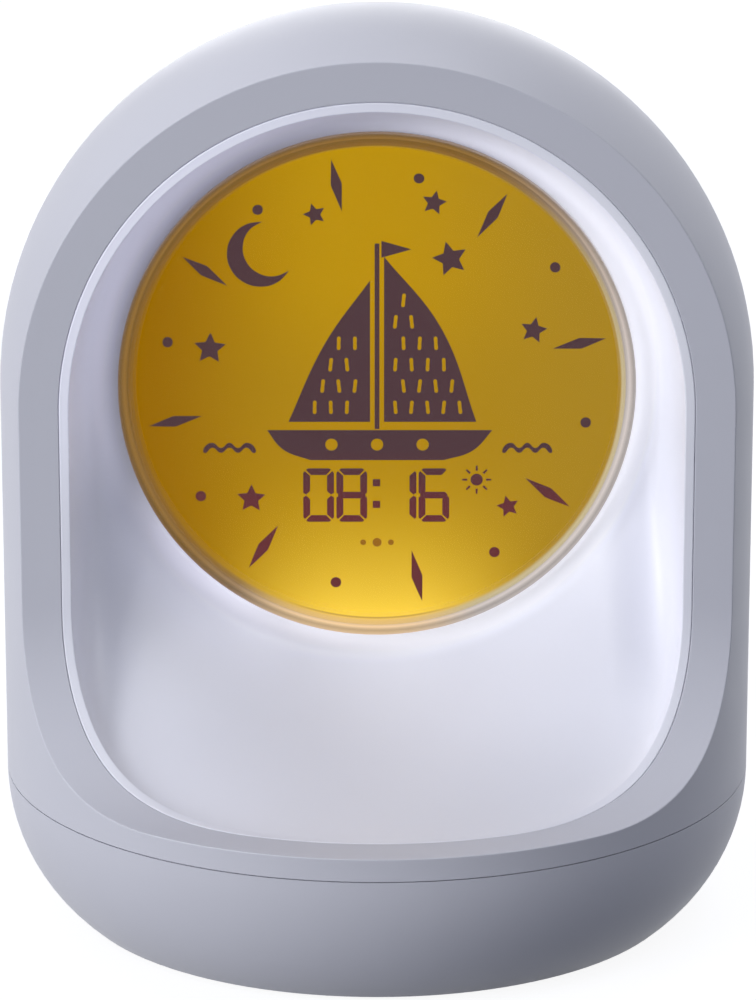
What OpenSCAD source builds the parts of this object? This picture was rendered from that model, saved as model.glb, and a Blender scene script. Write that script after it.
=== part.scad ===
// Kids alarm clock with a night light. A half ball on a drum is cut away in front by an upright
// face that sweeps into a ledge. A white niche behind the face carries the round display, and
// the back has a curved control panel. The front is -Y, the surface it stands on is z = 0, and
// the body's axis is the Z axis.

/* [Body] */
// Diameter of the dome and of the wall below it
body_d = 140; // [136:1:146]
// Height of the dome's centre above the table
dome_z = 101.5; // [100:0.5:106]
// Wall thickness of the dome
shell_wall = 2.6; // [2.2:0.1:3]
// Height of the seam between dome and base
seam_z = 27.7; // [26:0.1:29]
// Width of the shadow gap at the seam
seam_gap = 0.2; // [0.2:0.05:0.4]

/* [Front face] */
// Distance of the upright face ahead of the axis
face_y = 25.4; // [24:0.2:27]
// Radius of the sweep from the face into the ledge
face_sweep = 32; // [28:1:34]
// Height of the ledge above the seam
ledge_h = 4.3; // [3.8:0.1:5]
// Thickness of the face
face_t = 2.5; // [2:0.1:3]
// Width of the face beside the niche
face_side = 7.4; // [6.8:0.1:8]
// Width of the face in front of the niche
face_front = 8.3; // [7.6:0.1:9]

/* [Niche] */
// Width of the white lip round the niche
lip_w = 1.6; // [1.2:0.1:2]
// Gap between the lip and the face
lip_gap = 0.15; // [0.1:0.05:0.3]
// Distance of the niche's back ahead of the axis
back_y = 4; // [3:0.5:5]
// Width of the flat rim round the lens
back_rim = 1; // [0.6:0.1:1.6]
// Thickness of the liner
liner_t = 2; // [1.8:0.1:2.4]

/* [Display] */
// Diameter of the lens
lens_d = 96; // [92:1:98]
// Thickness of the lens
lens_t = 4; // [3:0.5:5]
// Radius of the lens's front edge
lens_edge = 2; // [1:0.25:2.5]
// Width of the lens's clear edge beyond the visible dial
lens_rim = 2.9; // [2.4:0.1:3.5]
// Thickness of one glass of the panel
glass_t = 1.1; // [0.7:0.1:1.3]
// Depth of the light box behind the panel
light_depth = 8; // [6:0.5:9]

/* [Night light] */
// Number of LEDs on the ring board
halo_led_n = 18; // [12:1:24]
// Width of the ring board
halo_w = 6; // [5:0.5:6.5]

/* [Rear panel] */
// Width of the control panel
panel_w = 76; // [72:1:78]
// Height of the control panel
panel_h = 64; // [62:1:66]
// Height of its centre above the table
panel_z = 64; // [63:0.5:65]
// Radius of its corners
panel_corner = 16; // [10:1:20]
// Gap between the panel and the shell
panel_gap = 0.3; // [0.2:0.05:0.4]
// Depth of the panel below the shell's surface
panel_sink = 1; // [0.8:0.1:1.2]

/* [Buttons] */
// Diameter of a button
button_d = 8.4; // [7.5:0.1:8.8]
// Distance between buttons
button_pitch = 11; // [10.6:0.1:11.4]
// Height of the buttons above the panel's centre
button_up = 22; // [21:0.5:23]
// How far a button stands out of the panel
button_proud = 0.8; // [0.6:0.1:1]
// Travel of a button
button_travel = 0.8; // [0.5:0.1:0.9]
// Clearance round a button in its guide
button_fit = 0.08; // [0.05:0.01:0.1]

/* [Speaker] */
// Diameter of the speaker
speaker_d = 36; // [32:1:38]
// Depth of the speaker's centre below the panel's centre
speaker_down = 4; // [3:0.5:5]
// Diameter of a sound hole
sound_hole_d = 2; // [1.6:0.1:2.4]
// Distance between rings of sound holes
sound_pitch = 4; // [3.6:0.1:4.2]

/* [Base] */
// Diameter of the base's bottom edge
base_edge_d = 115; // [112:1:118]
// Wall thickness of the base
base_wall = 2.6; // [2.2:0.1:3]
// Diameter of a rubber foot
foot_d = 12; // [10:1:14]
// How far a foot stands out
foot_h = 1; // [0.6:0.1:1.5]
// Diameter of the circle that the base screws lie on
screw_circle_d = 104; // [102:1:105]

/* [Hidden] */

// Colours of the materials
shell_grey = [0.80, 0.81, 0.84];
liner_white = [0.95, 0.95, 0.96];
amber = [0.86, 0.62, 0.10];
clear_plastic = [0.85, 0.87, 0.88, 0.5];
board_green = [0.10, 0.38, 0.22];
dark_plastic = [0.16, 0.16, 0.18];
steel = [0.72, 0.73, 0.75];
wire_red = [0.70, 0.12, 0.10];
wire_black = [0.08, 0.08, 0.09];

// Roundness of circles: large, middle and small
fine = 128;
mid = 64;
small = 32;
// Overlap that fuses two shapes of one piece
fuse = 0.5;
// Clearance between fixed pieces, and round a screw
seat = 0.1;

// Body
body_r = body_d / 2;
inner_r = body_r - shell_wall;
shell_bottom = seam_z + seam_gap / 2;
base_top = seam_z - seam_gap / 2;
ledge_z = seam_z + ledge_h;

// Niche opening: a drum of its own, whose axis stands a little behind the body's
front_reach = body_r - face_front;
side_reach = sqrt(pow(body_r, 2) - pow(face_y, 2)) - face_side;
niche_back = (pow(side_reach, 2) - pow(front_reach, 2) + pow(face_y, 2)) / (2 * (front_reach - face_y));
niche_r = front_reach + niche_back;
lip_r = niche_r - lip_gap;
cove_r = lip_r - lip_w;

// Display stack, each plane as a distance behind the axis (negative is ahead)
lens_r = lens_d / 2;
view_r = lens_r - lens_rim;
cove_foot_r = lens_r + back_rim;
liner_rear = liner_t - back_y;
seal_t = 0.5;
glass_y = liner_rear + seal_t;
glass_r = lens_r - 0.4;
diffuser_t = 1;
diffuser_y = glass_y + 2 * glass_t + seat;
tray_y = diffuser_y + diffuser_t;
tray_wall = 2;
tray_floor = 1;
light_board_y = tray_y + light_depth;
board_t = 1.6;
carrier_r = glass_r + 0.5;
carrier_wall = 1.8;
carrier_y = liner_rear;
carrier_rear = light_board_y + board_t + seat + 2;
carrier_flange_y = glass_y + 3;
carrier_flange_t = 1.6;

// Night light ring
halo_in_r = carrier_r + carrier_wall + 1.2;
halo_out_r = halo_in_r + halo_w;
halo_board_t = 1.2;
halo_y = carrier_flange_y - halo_board_t - seat;
halo_led_h = 1;
halo_led_w = 2.8;

// Bosses on the back of the face that the carrier is screwed to
boss_d = 4.6;
boss_sink = 0.3;
boss_x = inner_reach(inner_r, face_y - face_t) - boss_d / 2 + boss_sink;
boss_low = 34;
boss_high_a = 40;
boss_high_r = boss_x;
boss_end = carrier_flange_y - seat;
boss_spots = [
    [boss_high_r * cos(boss_high_a), boss_high_r * sin(boss_high_a)],
    [-boss_high_r * cos(boss_high_a), boss_high_r * sin(boss_high_a)],
    [boss_x, -boss_low],
    [-boss_x, -boss_low]
];

// Main board, on posts behind the carrier
main_w = 68;
main_h = 74;
main_corner = 5;
main_post_x = 29;
main_post_z = 32;
main_gap = 5;
main_y = carrier_rear + main_gap;
main_rear = main_y + board_t;

// Rear panel
panel_r = body_r - panel_sink;
panel_t = 3;
panel_in_r = panel_r - panel_t;
panel_flange = 2.5;
flange_r = inner_r - 0.2;
flange_t = 1.8;

// Buttons, their guides, switches and board
button_n = 5;
button_z = panel_z + button_up;
collar_d = 10;
guide_end = inner_reach(panel_in_r, button_pitch * (button_n - 1) / 2 + collar_d / 2) - 0.6;
guide_wall = 1.6;
collar_t = 1.3;
collar_y = guide_end - seat;
stem_d = 3.2;
switch_h = 3.5;
switch_w = 6;
stem_entry = 0.4;
well_depth = stem_entry + button_travel + 0.2;
switch_y = collar_y - collar_t - button_travel - 0.3;
button_board_y = switch_y - switch_h - board_t;
button_board_w = 66;
button_board_h = 14;
button_post_x = 29.6;
button_post_d = 4.4;

// Speaker
speaker_z = panel_z - speaker_down;
speaker_r = speaker_d / 2;
gasket_y = guide_end - 0.2;
gasket_t = 1;
speaker_y = gasket_y - gasket_t;
speaker_flange_t = 1.2;
speaker_depth = 8;
magnet_d = 18;
magnet_t = 6;
sound_rings = 3;
speaker_screw_r = speaker_r + 3.2;
speaker_post_d = 5;

// Power inlet
usb_w = 9;
usb_h = 3.4;
usb_len = 7.4;
usb_gap = 2.3;
usb_z = speaker_z - speaker_r - usb_gap - usb_h / 2;
usb_board_z = usb_z - usb_h / 2 - board_t;
usb_board_w = 20;
usb_board_l = 16;
usb_post_w = 5;
usb_post_h = 4.5;
usb_post_x = (usb_board_w - usb_post_w) / 2;
usb_mouth_y = panel_in_r - 0.6;
usb_screw_y = usb_mouth_y - usb_board_l + 3;

// Base: one arc, upright at the seam, down to the bottom edge
base_edge_r = base_edge_d / 2;
base_depth = seam_z - foot_h;
base_in = body_r - base_edge_r;
base_arc = (pow(base_depth, 2) + pow(base_in, 2)) / (2 * base_in);
base_arc_x = body_r - base_arc;
base_floor = 2.6;
spigot_t = 1.8;
spigot_h = 1.7;
screw_circle = screw_circle_d / 2;
ear_angles = [40, 140, 200, 340];
ear_w = 12;
ear_t = 3;
ear_boss_d = 7.4;
ear_boss_h = 10;
base_post_d = 9;
base_screw_d = 3;
base_head_d = 5.6;
base_head_h = 2.2;
base_head_z = 16;
foot_circle = 48;
foot_sink = 1;

// Small screws: diameter, head and lengths
screw_d = 2;
head_d = 3.8;
head_h = 1.4;
short_screw = 5;
board_screw = 6;
carrier_screw = 9;

// How far a tube of radius r reaches at a distance from its middle plane
function inner_reach(r, off) = sqrt(pow(r, 2) - pow(off, 2));

// ---------------------------------------------------------------- shared shapes

// A half ball of radius r on a drum that reaches down to z0
module ball_drum(r, z0) {
    rotate_extrude($fn = fine)
        intersection() {
            union() {
                translate([0, dome_z]) circle(r, $fn = fine);
                translate([0, z0]) square([r, dome_z - z0]);
            }
            translate([0, z0]) square([r, dome_z + r - z0]);
        }
}

// Everything ahead of the front face and above its ledge, set back by depth
module ahead_of_face(depth) {
    far = 2 * body_d;
    sweep_y = -face_y - face_sweep;
    rotate([90, 0, 90])
        translate([0, 0, -far / 2])
            linear_extrude(far)
                difference() {
                    translate([depth - face_y - far, ledge_z - depth]) square(far);
                    difference() {
                        translate([sweep_y, ledge_z - depth]) square(face_sweep + depth);
                        translate([sweep_y, ledge_z + face_sweep])
                            circle(face_sweep + depth, $fn = fine);
                    }
                }
}

// Turns a shape built along +Z so that it points to the back
module to_back() {
    rotate([-90, 0, 0]) children();
}

// A round disc or ring that faces the front, from y to y + t at the height of the dome's centre
module disc(r, y, t, hole = 0) {
    translate([0, y, dome_z])
        to_back()
            difference() {
                cylinder(r = r, h = t, $fn = fine);
                if (hole > 0) translate([0, 0, -fuse]) cylinder(r = hole, h = t + 2 * fuse, $fn = fine);
            }
}

// A plate that faces the front, with round corners, centred at x = 0 and height z
module plate(w, h, corner, y, t, z) {
    translate([0, y, z])
        rotate([90, 0, 0])
            mirror([0, 0, 1])
                linear_extrude(t)
                    rounded(w, h, corner);
}

// A rectangle with round corners, centred
module rounded(w, h, corner) {
    square([w - 2 * corner, h], center = true);
    square([w, h - 2 * corner], center = true);
    for (x = [-1, 1], y = [-1, 1])
        translate([x * (w / 2 - corner), y * (h / 2 - corner)]) circle(corner, $fn = mid);
}

// A cylinder that points to the back, from y at x and z
module rod(x, y, z, d, len) {
    translate([x, y, z]) to_back() cylinder(d = d, h = len, $fn = small);
}

// A pan-head screw that stands at the origin, head up, with a cross in its head
module screw(d, len, hd, hh) {
    translate([0, 0, -len]) cylinder(d = d, h = len + fuse, $fn = small);
    difference() {
        cylinder(d = hd, h = hh, $fn = small);
        for (a = [0, 90])
            rotate(a) translate([-hd * 0.3, -hd * 0.08, hh * 0.4]) cube([hd * 0.6, hd * 0.16, hh]);
    }
}

// A small screw whose head faces the front (dir = -1) or the back (dir = 1)
module screw_at(x, y, z, len, dir) {
    translate([x, y, z]) rotate([-90 * dir, 0, 0]) screw(screw_d, len, head_d, head_h);
}

// ---------------------------------------------------------------- leads and ribbons

// Point at t on the curve from a to b that leaves and arrives along the handles
function bend(a, ha, hb, b, t) =
    pow(1 - t, 3) * a + 3 * t * pow(1 - t, 2) * ha + 3 * t * t * (1 - t) * hb + pow(t, 3) * b;
function unit(v) = v / norm(v);

lead_sides = 8;
lead_rings = 20;
lead_d = 1.4;

// A round lead along one curve. Its rings turn with the plane that the curve starts in.
module lead(a, ha, hb, b) {
    across = cross(ha - a, b - a);
    path = [for (i = [0:lead_rings]) bend(a, ha, hb, b, i / lead_rings)];
    along = [for (i = [0:lead_rings])
        unit(path[min(i + 1, lead_rings)] - path[max(i - 1, 0)])];
    side = [for (t = along) unit(across - (across * t) * t)];
    rings = [for (i = [0:lead_rings], k = [0:lead_sides - 1])
        path[i] + lead_d / 2 * (cos(360 * k / lead_sides) * side[i]
            - sin(360 * k / lead_sides) * cross(along[i], side[i]))];
    closed_tube(rings, lead_rings + 1, lead_sides);
}

// A flat cable of width w centred at x, along points of [y, z]
module ribbon(x, w, t, path) {
    n = len(path);
    along = [for (i = [0:n - 1]) unit(path[min(i + 1, n - 1)] - path[max(i - 1, 0)])];
    rings = [for (i = [0:n - 1], c = [[-1, -1], [1, -1], [1, 1], [-1, 1]])
        let (p = path[i] + c[1] * t / 2 * [-along[i][1], along[i][0]])
            [x + c[0] * w / 2, p[0], p[1]]];
    closed_tube(rings, n, 4);
}

// Skin of a tube given ring by ring, with flat ends
module closed_tube(points, rings, sides) {
    last = (rings - 1) * sides;
    walls = [for (i = [0:rings - 2], k = [0:sides - 1])
        let (a = i * sides + k, b = i * sides + (k + 1) % sides)
            each [[a, b, b + sides], [a, b + sides, a + sides]]];
    ends = [[for (k = [sides - 1:-1:0]) k], [for (k = [0:sides - 1]) last + k]];
    polyhedron(points, concat(walls, ends), convexity = 4);
}

// ---------------------------------------------------------------- casing

module outer_shell() color(shell_grey) {
    difference() {
        union() {
            difference() {
                ball_drum(body_r, shell_bottom);
                difference() {
                    ball_drum(inner_r, shell_bottom - 1);
                    ahead_of_face(face_t);
                }
                ahead_of_face(0);
                translate([0, niche_back, 0]) ball_drum(niche_r, shell_bottom - 1);
            }
            carrier_bosses();
            base_ears();
        }
        panel_block(0);
    }
}

// Long bosses behind the face, for the screws of the display carrier
module carrier_bosses() {
    start = face_t - face_y - fuse;
    for (s = boss_spots)
        translate([s[0], start, dome_z + s[1]])
            to_back()
                difference() {
                    cylinder(d = boss_d, h = boss_end - start, $fn = small);
                    translate([0, 0, face_t])
                        cylinder(d = screw_d + seat, h = boss_end - start, $fn = small);
                }
}

// Ears inside the bottom of the wall, which the base is screwed to
module base_ears() {
    for (a = ear_angles)
        rotate(a)
            difference() {
                union() {
                    intersection() {
                        translate([screw_circle - ear_w / 2, -ear_w / 2, shell_bottom])
                            cube([body_r, ear_w, ear_t]);
                        ball_drum(body_r - shell_wall / 2, 0);
                    }
                    translate([screw_circle, 0, shell_bottom])
                        cylinder(d = ear_boss_d, h = ear_boss_h, $fn = small);
                }
                translate([screw_circle, 0, shell_bottom - fuse])
                    cylinder(d = base_screw_d + seat, h = ear_boss_h - 1, $fn = small);
            }
}

// The control panel's outline as a block through the back wall, grown by grow
module panel_block(grow) {
    plate(panel_w + 2 * grow, panel_h + 2 * grow, panel_corner + grow, body_r / 2, body_r, panel_z);
}

module base_cup() color(shell_grey) {
    difference() {
        union() {
            rotate_extrude($fn = fine)
                difference() {
                    base_outline(0, foot_h);
                    base_outline(base_wall, foot_h + base_floor);
                }
            base_spigot();
            for (a = ear_angles)
                rotate(a) translate([screw_circle, 0, foot_h]) {
                    cylinder(d = base_post_d, h = base_top - foot_h + seat, $fn = small);
                }
        }
        for (a = ear_angles)
            rotate(a) translate([screw_circle, 0, 0]) {
                cylinder(d = base_head_d + 0.6, h = base_head_z, $fn = small);
                cylinder(d = base_screw_d + 0.4, h = seam_z + fuse, $fn = small);
            }
        for (a = [0:90:270])
            rotate(a) translate([foot_circle, 0, 0])
                cylinder(d = foot_d + 2 * seat, h = foot_h + foot_sink, $fn = mid);
    }
}

// Half section of the bowl, drawn in by inset and cut off below z0
module base_outline(inset, z0) {
    intersection() {
        translate([0, z0]) square([body_r, base_top - z0 + (inset > 0 ? fuse : 0)]);
        union() {
            translate([base_arc_x, seam_z]) circle(base_arc - inset, $fn = fine);
            square([base_arc_x, 2 * seam_z]);
        }
    }
}

// Ring that centres the shell on the base, with gaps for the ears
module base_spigot() {
    out = inner_r - 2 * seat;
    difference() {
        rotate_extrude($fn = fine) {
            translate([out - spigot_t, base_top - 5]) square([spigot_t, 5 + spigot_h]);
            translate([out - spigot_t, base_top - 5]) square([spigot_t + 0.6, 5]);
        }
        for (a = ear_angles)
            rotate(a)
                translate([screw_circle, -ear_w / 2 - 0.4, base_top]) cube([body_r, ear_w + 0.8, 5]);
    }
}

module base_screws() color(steel) {
    for (a = ear_angles)
        rotate(a)
            translate([screw_circle, 0, base_head_z])
                mirror([0, 0, 1])
                    screw(base_screw_d - seat, shell_bottom - base_head_z + 7, base_head_d, base_head_h);
}

module rubber_feet() color(dark_plastic) {
    for (a = [0:90:270])
        rotate(a) translate([foot_circle, 0, 0])
            rotate_extrude($fn = mid) {
                translate([0, foot_h / 2]) square([foot_d / 2, foot_h / 2 + foot_sink]);
                square([foot_d / 2 - foot_h / 2, foot_h]);
                intersection() {
                    translate([foot_d / 2 - foot_h / 2, foot_h / 2]) circle(foot_h / 2, $fn = small);
                    square([foot_d, foot_h]);
                }
            }
}

// ---------------------------------------------------------------- niche liner

// The liner is lofted round the niche. Step j runs from the top of the arch down one side to the
// middle of the front ledge.
arch_steps = 18;
floor_steps = 20;
cove_steps = 12;
skin_steps = 8;
lip_depth = 3;
heel_draft = 0.6;
// Exponents of the section at the walls, which stand steep, and at the floor, which is a ramp
wall_power = 2.3;
floor_power = 1.45;
// Angles below the display's centre between which the walls turn into the floor, and by how much
// the foot of a section keeps above its lip there
corner_from = 32;
corner_to = 56;
corner_twist = 26;
half_steps = arch_steps + floor_steps;
upright = dome_z - ledge_z - face_sweep;
sweep_end = face_y + face_sweep;

// Angle of the sweep at which a drum of radius r ends, and the length of its edge down to there
function sweep_angle(r, depth) =
    let (short = sweep_end - (r - niche_back)) short <= 0 ? 90 : acos(short / (face_sweep + depth));
function edge_length(r, depth) =
    upright + (face_sweep + depth) * sweep_angle(r, depth) * PI / 180
        + max(0, r - niche_back - sweep_end);

// Where the face's section is after a run of s: [y, z]
function face_run(s, depth) =
    let (sweep_r = face_sweep + depth, a = (s - upright) / sweep_r * 180 / PI)
        s <= upright ? [depth - face_y, dome_z - s]
        : a <= 90 ? [sweep_r * cos(a) - sweep_end, ledge_z + face_sweep - sweep_r * sin(a)]
        : [-sweep_end - (s - upright - sweep_r * PI / 2), ledge_z - depth];

// Edge of a niche drum of radius r on the face that is set back by depth
function edge_point(j, r, depth) =
    j <= arch_steps ? arch_point(90 - 90 * j / arch_steps, r, depth)
    : floor_point(sin(90 * (j - arch_steps) / floor_steps) * edge_length(r, depth), r, depth);
function arch_point(a, r, depth) =
    let (arch_r = sqrt(pow(r, 2) - pow(face_y - depth + niche_back, 2)))
        [arch_r * cos(a), depth - face_y, dome_z + arch_r * sin(a)];
function floor_point(s, r, depth) =
    let (p = face_run(s, depth))
        [sqrt(max(0, pow(r, 2) - pow(p[0] - niche_back, 2))), p[0], p[1]];

// Point on a ring of radius r round the lens that belongs to a point of the lip
function ring_point(p, r, y) =
    let (turn = atan2(p[2] - dome_z, p[0]), a = turn < 0 ? turn + corner_twist * sin(-2 * turn) : turn)
        [r * cos(a), y, dome_z + r * sin(a)];

// Exponent of the section at a point of the lip
function section_power(p) =
    let (
        down = max(0, atan2(dome_z - p[2], p[0])),
        t = min(1, max(0, (down - corner_from) / (corner_to - corner_from)))
    )
        wall_power + (floor_power - wall_power) * t * t * (3 - 2 * t);

// Point at angle q of the rounded quarter from ring to lip: it leaves the ring outwards and
// arrives at the lip forwards
function cove_point(ring, lip, q, power) =
    let (out = pow(sin(q), 2 / power), on = 1 - pow(cos(q), 2 / power)) [
        ring[0] + (lip[0] - ring[0]) * out,
        ring[1] + (lip[1] - ring[1]) * on,
        ring[2] + (lip[2] - ring[2]) * out
    ];

// The liner's closed section at step j, from the lens hole over the cove and the lip, and back
function liner_section(j) =
    let (
        lip = edge_point(j, cove_r, 0),
        heel = edge_point(j, lip_r - heel_draft, lip_depth),
        foot = ring_point(lip, cove_foot_r, -back_y),
        sole = ring_point(lip, cove_foot_r + liner_t / 3, liner_rear),
        power = section_power(lip)
    )
        concat(
            [ring_point(lip, view_r, -back_y)],
            [for (i = [0:cove_steps]) cove_point(foot, lip, 90 * i / cove_steps, power)],
            [edge_point(j, lip_r, 0), heel],
            [for (i = [skin_steps - 1:-1:0]) cove_point(sole, heel, 90 * i / skin_steps, power)],
            [ring_point(lip, view_r, liner_rear)]
        );
function flip_x(points) = [for (p = points) [-p[0], p[1], p[2]]];

module niche_liner() color(liner_white) {
    right = [for (j = [0:half_steps]) liner_section(j)];
    left = [for (j = [half_steps - 1:-1:1]) flip_x(right[j])];
    rings = concat(right, left);
    n = len(rings);
    m = len(rings[0]);
    points = [for (r = rings, p = r) p];
    faces = [for (k = [0:n - 1], i = [0:m - 1])
        let (a = k * m, b = (k + 1) % n * m, h = (i + 1) % m)
            each [[a + i, b + h, b + i], [a + i, a + h, b + h]]];
    polyhedron(points, faces, convexity = 6);
}

// ---------------------------------------------------------------- display

module display_lens() color(clear_plastic) {
    translate([0, -back_y, dome_z])
        rotate([90, 0, 0])
            rotate_extrude($fn = fine) {
                square([lens_r - lens_edge, lens_t]);
                square([lens_r, lens_t - lens_edge]);
                translate([lens_r - lens_edge, lens_t - lens_edge]) circle(lens_edge, $fn = small);
            }
}

module display_seal() color(dark_plastic) {
    disc(glass_r, liner_rear, seal_t, view_r + 2 * seat);
}

// Two glasses: the front one reaches further down and carries the contacts
contact_ledge = 3;
module lcd_panel() color(amber) {
    disc(glass_r, glass_y, glass_t);
    intersection() {
        disc(glass_r, glass_y + glass_t, glass_t);
        translate([-glass_r, glass_y, dome_z - glass_r + contact_ledge]) cube(2 * glass_r);
    }
}

module diffuser_sheet() color(liner_white) {
    disc(glass_r, diffuser_y, diffuser_t);
}

// LEDs stand in the middle and on two circles
led_pitch = 16.5;
led_rings = 2;
module at_leds() {
    children();
    for (ring = [1:led_rings], k = [0:6 * ring - 1])
        rotate(60 * k / ring) translate([led_pitch * ring, 0, 0]) children();
}

// White tray round the light box, with a window for each LED
module reflector_tray() color(liner_white) {
    difference() {
        disc(glass_r, tray_y, light_depth);
        disc(glass_r - tray_wall, tray_y - fuse, light_depth - tray_floor + fuse);
        translate([0, light_board_y - 2 * tray_floor, dome_z])
            to_back() at_leds() cylinder(d = led_w + 2.4, h = 3 * tray_floor, $fn = small);
    }
}

module backlight_board() color(liner_white) {
    disc(glass_r, light_board_y, board_t);
}

led_w = 3.2;
led_h = 0.9;
module backlight_leds() color([0.98, 0.96, 0.85]) {
    translate([0, light_board_y - led_h, dome_z])
        to_back() at_leds() translate([-led_w / 2, -led_w / 2, 0]) cube([led_w, led_w, led_h]);
}

// Pocket below the display in which the flat cable runs to the back
ribbon_w = 22;
ribbon_t = 0.3;
pocket_w = ribbon_w + 2;
pocket_z = dome_z - carrier_r - 2;
pocket_wall = 1.4;

// Window in the back of the carrier for the back light's leads
window_w = 20;
window_h = 7;
window_up = 42;

// Frame that holds the stack from behind, with a flange for the ring board and ears for screws
module display_carrier() color(dark_plastic) {
    difference() {
        union() {
            disc(carrier_r + carrier_wall, carrier_y, carrier_rear - carrier_y);
            disc(halo_out_r, carrier_flange_y, carrier_flange_t);
            for (s = boss_spots) carrier_ear(s);
            carrier_pocket(pocket_wall, 0);
            for (x = [-1, 1], z = [-1, 1])
                rod(x * main_post_x, carrier_rear - fuse, dome_z + z * main_post_z, 6, main_gap + fuse);
        }
        disc(carrier_r, carrier_y - fuse, light_board_y + board_t + seat - carrier_y + fuse);
        carrier_pocket(0, fuse);
        for (s = boss_spots)
            rod(s[0], carrier_flange_y - fuse, dome_z + s[1], screw_d + 0.4, carrier_flange_t + 2 * fuse);
        for (x = [-1, 1], z = [-1, 1])
            rod(x * main_post_x, carrier_rear - 1.5, dome_z + z * main_post_z, screw_d + seat,
                main_gap + 2);
        plate(window_w, window_h, 2, carrier_rear - 3, 4, dome_z + window_up);
        plate(pocket_w, 12, 1, carrier_rear - 3, 4, pocket_z + 6);
    }
}

module carrier_ear(spot) {
    reach = norm(spot);
    translate([0, carrier_flange_y, dome_z])
        to_back()
            rotate(-atan2(spot[1], spot[0])) {
                translate([carrier_r + 1, -boss_d * 0.8, 0])
                    cube([reach - carrier_r - 1, boss_d * 1.6, carrier_flange_t]);
                translate([reach, 0, 0]) cylinder(r = boss_d * 0.8, h = carrier_flange_t, $fn = small);
            }
}

module carrier_pocket(grow, over) {
    translate([-pocket_w / 2 - grow, carrier_y - over, pocket_z - grow])
        cube([pocket_w + 2 * grow, carrier_rear - carrier_y + 2 * over, carrier_r / 3]);
}

module carrier_screws() color(steel) {
    for (s = boss_spots)
        screw_at(s[0], carrier_flange_y + carrier_flange_t, dome_z + s[1], carrier_screw, 1);
}

// ---------------------------------------------------------------- night light ring

module halo_board() color(board_green) {
    difference() {
        disc(halo_out_r, halo_y, halo_board_t, halo_in_r);
        carrier_pocket(pocket_wall + seat, 1);
        for (s = boss_spots)
            rod(s[0], halo_y - fuse, dome_z + s[1], boss_d + 2 * seat, halo_board_t + 2 * fuse);
    }
}

module halo_leds() color([0.98, 0.96, 0.85]) {
    translate([0, halo_y - halo_led_h, dome_z])
        to_back()
            for (k = [0:halo_led_n - 1])
                rotate(90 + 360 * k / halo_led_n)
                    translate([(halo_in_r + halo_out_r - halo_led_w) / 2, -halo_led_w / 2, 0])
                        cube([halo_led_w, halo_led_w, halo_led_h]);
}

// ---------------------------------------------------------------- main board

module main_board() color(board_green) {
    difference() {
        plate(main_w, main_h, main_corner, main_y, board_t, dome_z);
        for (x = [-1, 1], z = [-1, 1])
            rod(x * main_post_x, main_y - fuse, dome_z + z * main_post_z, screw_d + 0.4,
                board_t + 2 * fuse);
    }
}

module board_screws() color(steel) {
    for (x = [-1, 1], z = [-1, 1])
        screw_at(x * main_post_x, main_rear, dome_z + z * main_post_z, board_screw, 1);
}

// Chip with a dot at its first pin
chip_w = 12;
chip_t = 1.4;
chip_up = 6;
chip_dot = 1.2;
module main_processor() color(dark_plastic) {
    dot_in = chip_w / 2 - 1.3 * chip_dot;
    difference() {
        plate(chip_w, chip_w, 0.6, main_rear, chip_t, dome_z + chip_up);
        rod(-dot_in, main_rear + 0.8 * chip_t, dome_z + chip_up + dot_in, chip_dot, chip_t);
    }
}

// Radio on a small board of its own, below a steel cover that leaves the aerial free
radio_w = 16;
radio_l = 24;
radio_t = 0.8;
radio_up = 24;
cover_w = 14.4;
cover_l = 16;
cover_t = 2.2;
module wireless_module() {
    color(board_green) plate(radio_w, radio_l, 1, main_rear, radio_t, dome_z + radio_up);
    color(steel)
        plate(cover_w, cover_l, 0.8, main_rear + radio_t, cover_t,
            dome_z + radio_up - (radio_l - cover_l) / 2 + (radio_w - cover_w) / 2);
}

capacitor_d = 6.3;
capacitor_h = 7;
capacitor_x = 23;
capacitor_z = [-2, 10];
module board_capacitors() {
    color(dark_plastic)
        for (x = [-1, 1], z = capacitor_z)
            rod(x * capacitor_x, main_rear, dome_z + z, capacitor_d, capacitor_h);
}

// Sockets on the main board, each [x, height from the dome's centre, width, height]
cable_socket = [0, -33, ribbon_w + 3, 5];
keys_socket = [0, -15, 18, 5];
speaker_socket = [16, -23, 7, 5];
power_socket = [-16, -23, 7, 5];
halo_socket = [26, 21, 5, 7];
light_socket = [-18, 31, 7, 5];
socket_wall = 0.8;
socket_t = 4;
socket_rear = main_rear + socket_t;
module board_connectors() color(liner_white) {
    for (s = [cable_socket, keys_socket, speaker_socket, power_socket, halo_socket, light_socket])
        translate([s[0], 0, 0])
            difference() {
                plate(s[2], s[3], 0.4, main_rear, socket_t, dome_z + s[1]);
                plate(s[2] - 2 * socket_wall, s[3] - 2 * socket_wall, 0.3, main_rear + 1, socket_t,
                    dome_z + s[1]);
            }
}

// The flat cable leaves the panel's contact ledge, runs back through the pocket and turns up
// behind the main board
cable_y = glass_y + glass_t + ribbon_t / 2;
cable_low = dome_z - carrier_r - 1;
cable_up = main_rear + socket_t + 2;
cable_end = dome_z + cable_socket[1];
module lcd_ribbon() color([0.75, 0.45, 0.10]) {
    down = [for (i = [0:8]) bend([cable_y, dome_z - glass_r + 0.7], [cable_y, cable_low],
        [cable_y, cable_low], [cable_y + 3, cable_low], i / 8)];
    up = [for (i = [0:12]) bend([main_y, cable_low], [cable_up + 3, cable_low],
        [cable_up + 3, cable_end], [socket_rear - 2, cable_end], i / 12)];
    ribbon(0, ribbon_w, ribbon_t, concat(down, up));
}

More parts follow.
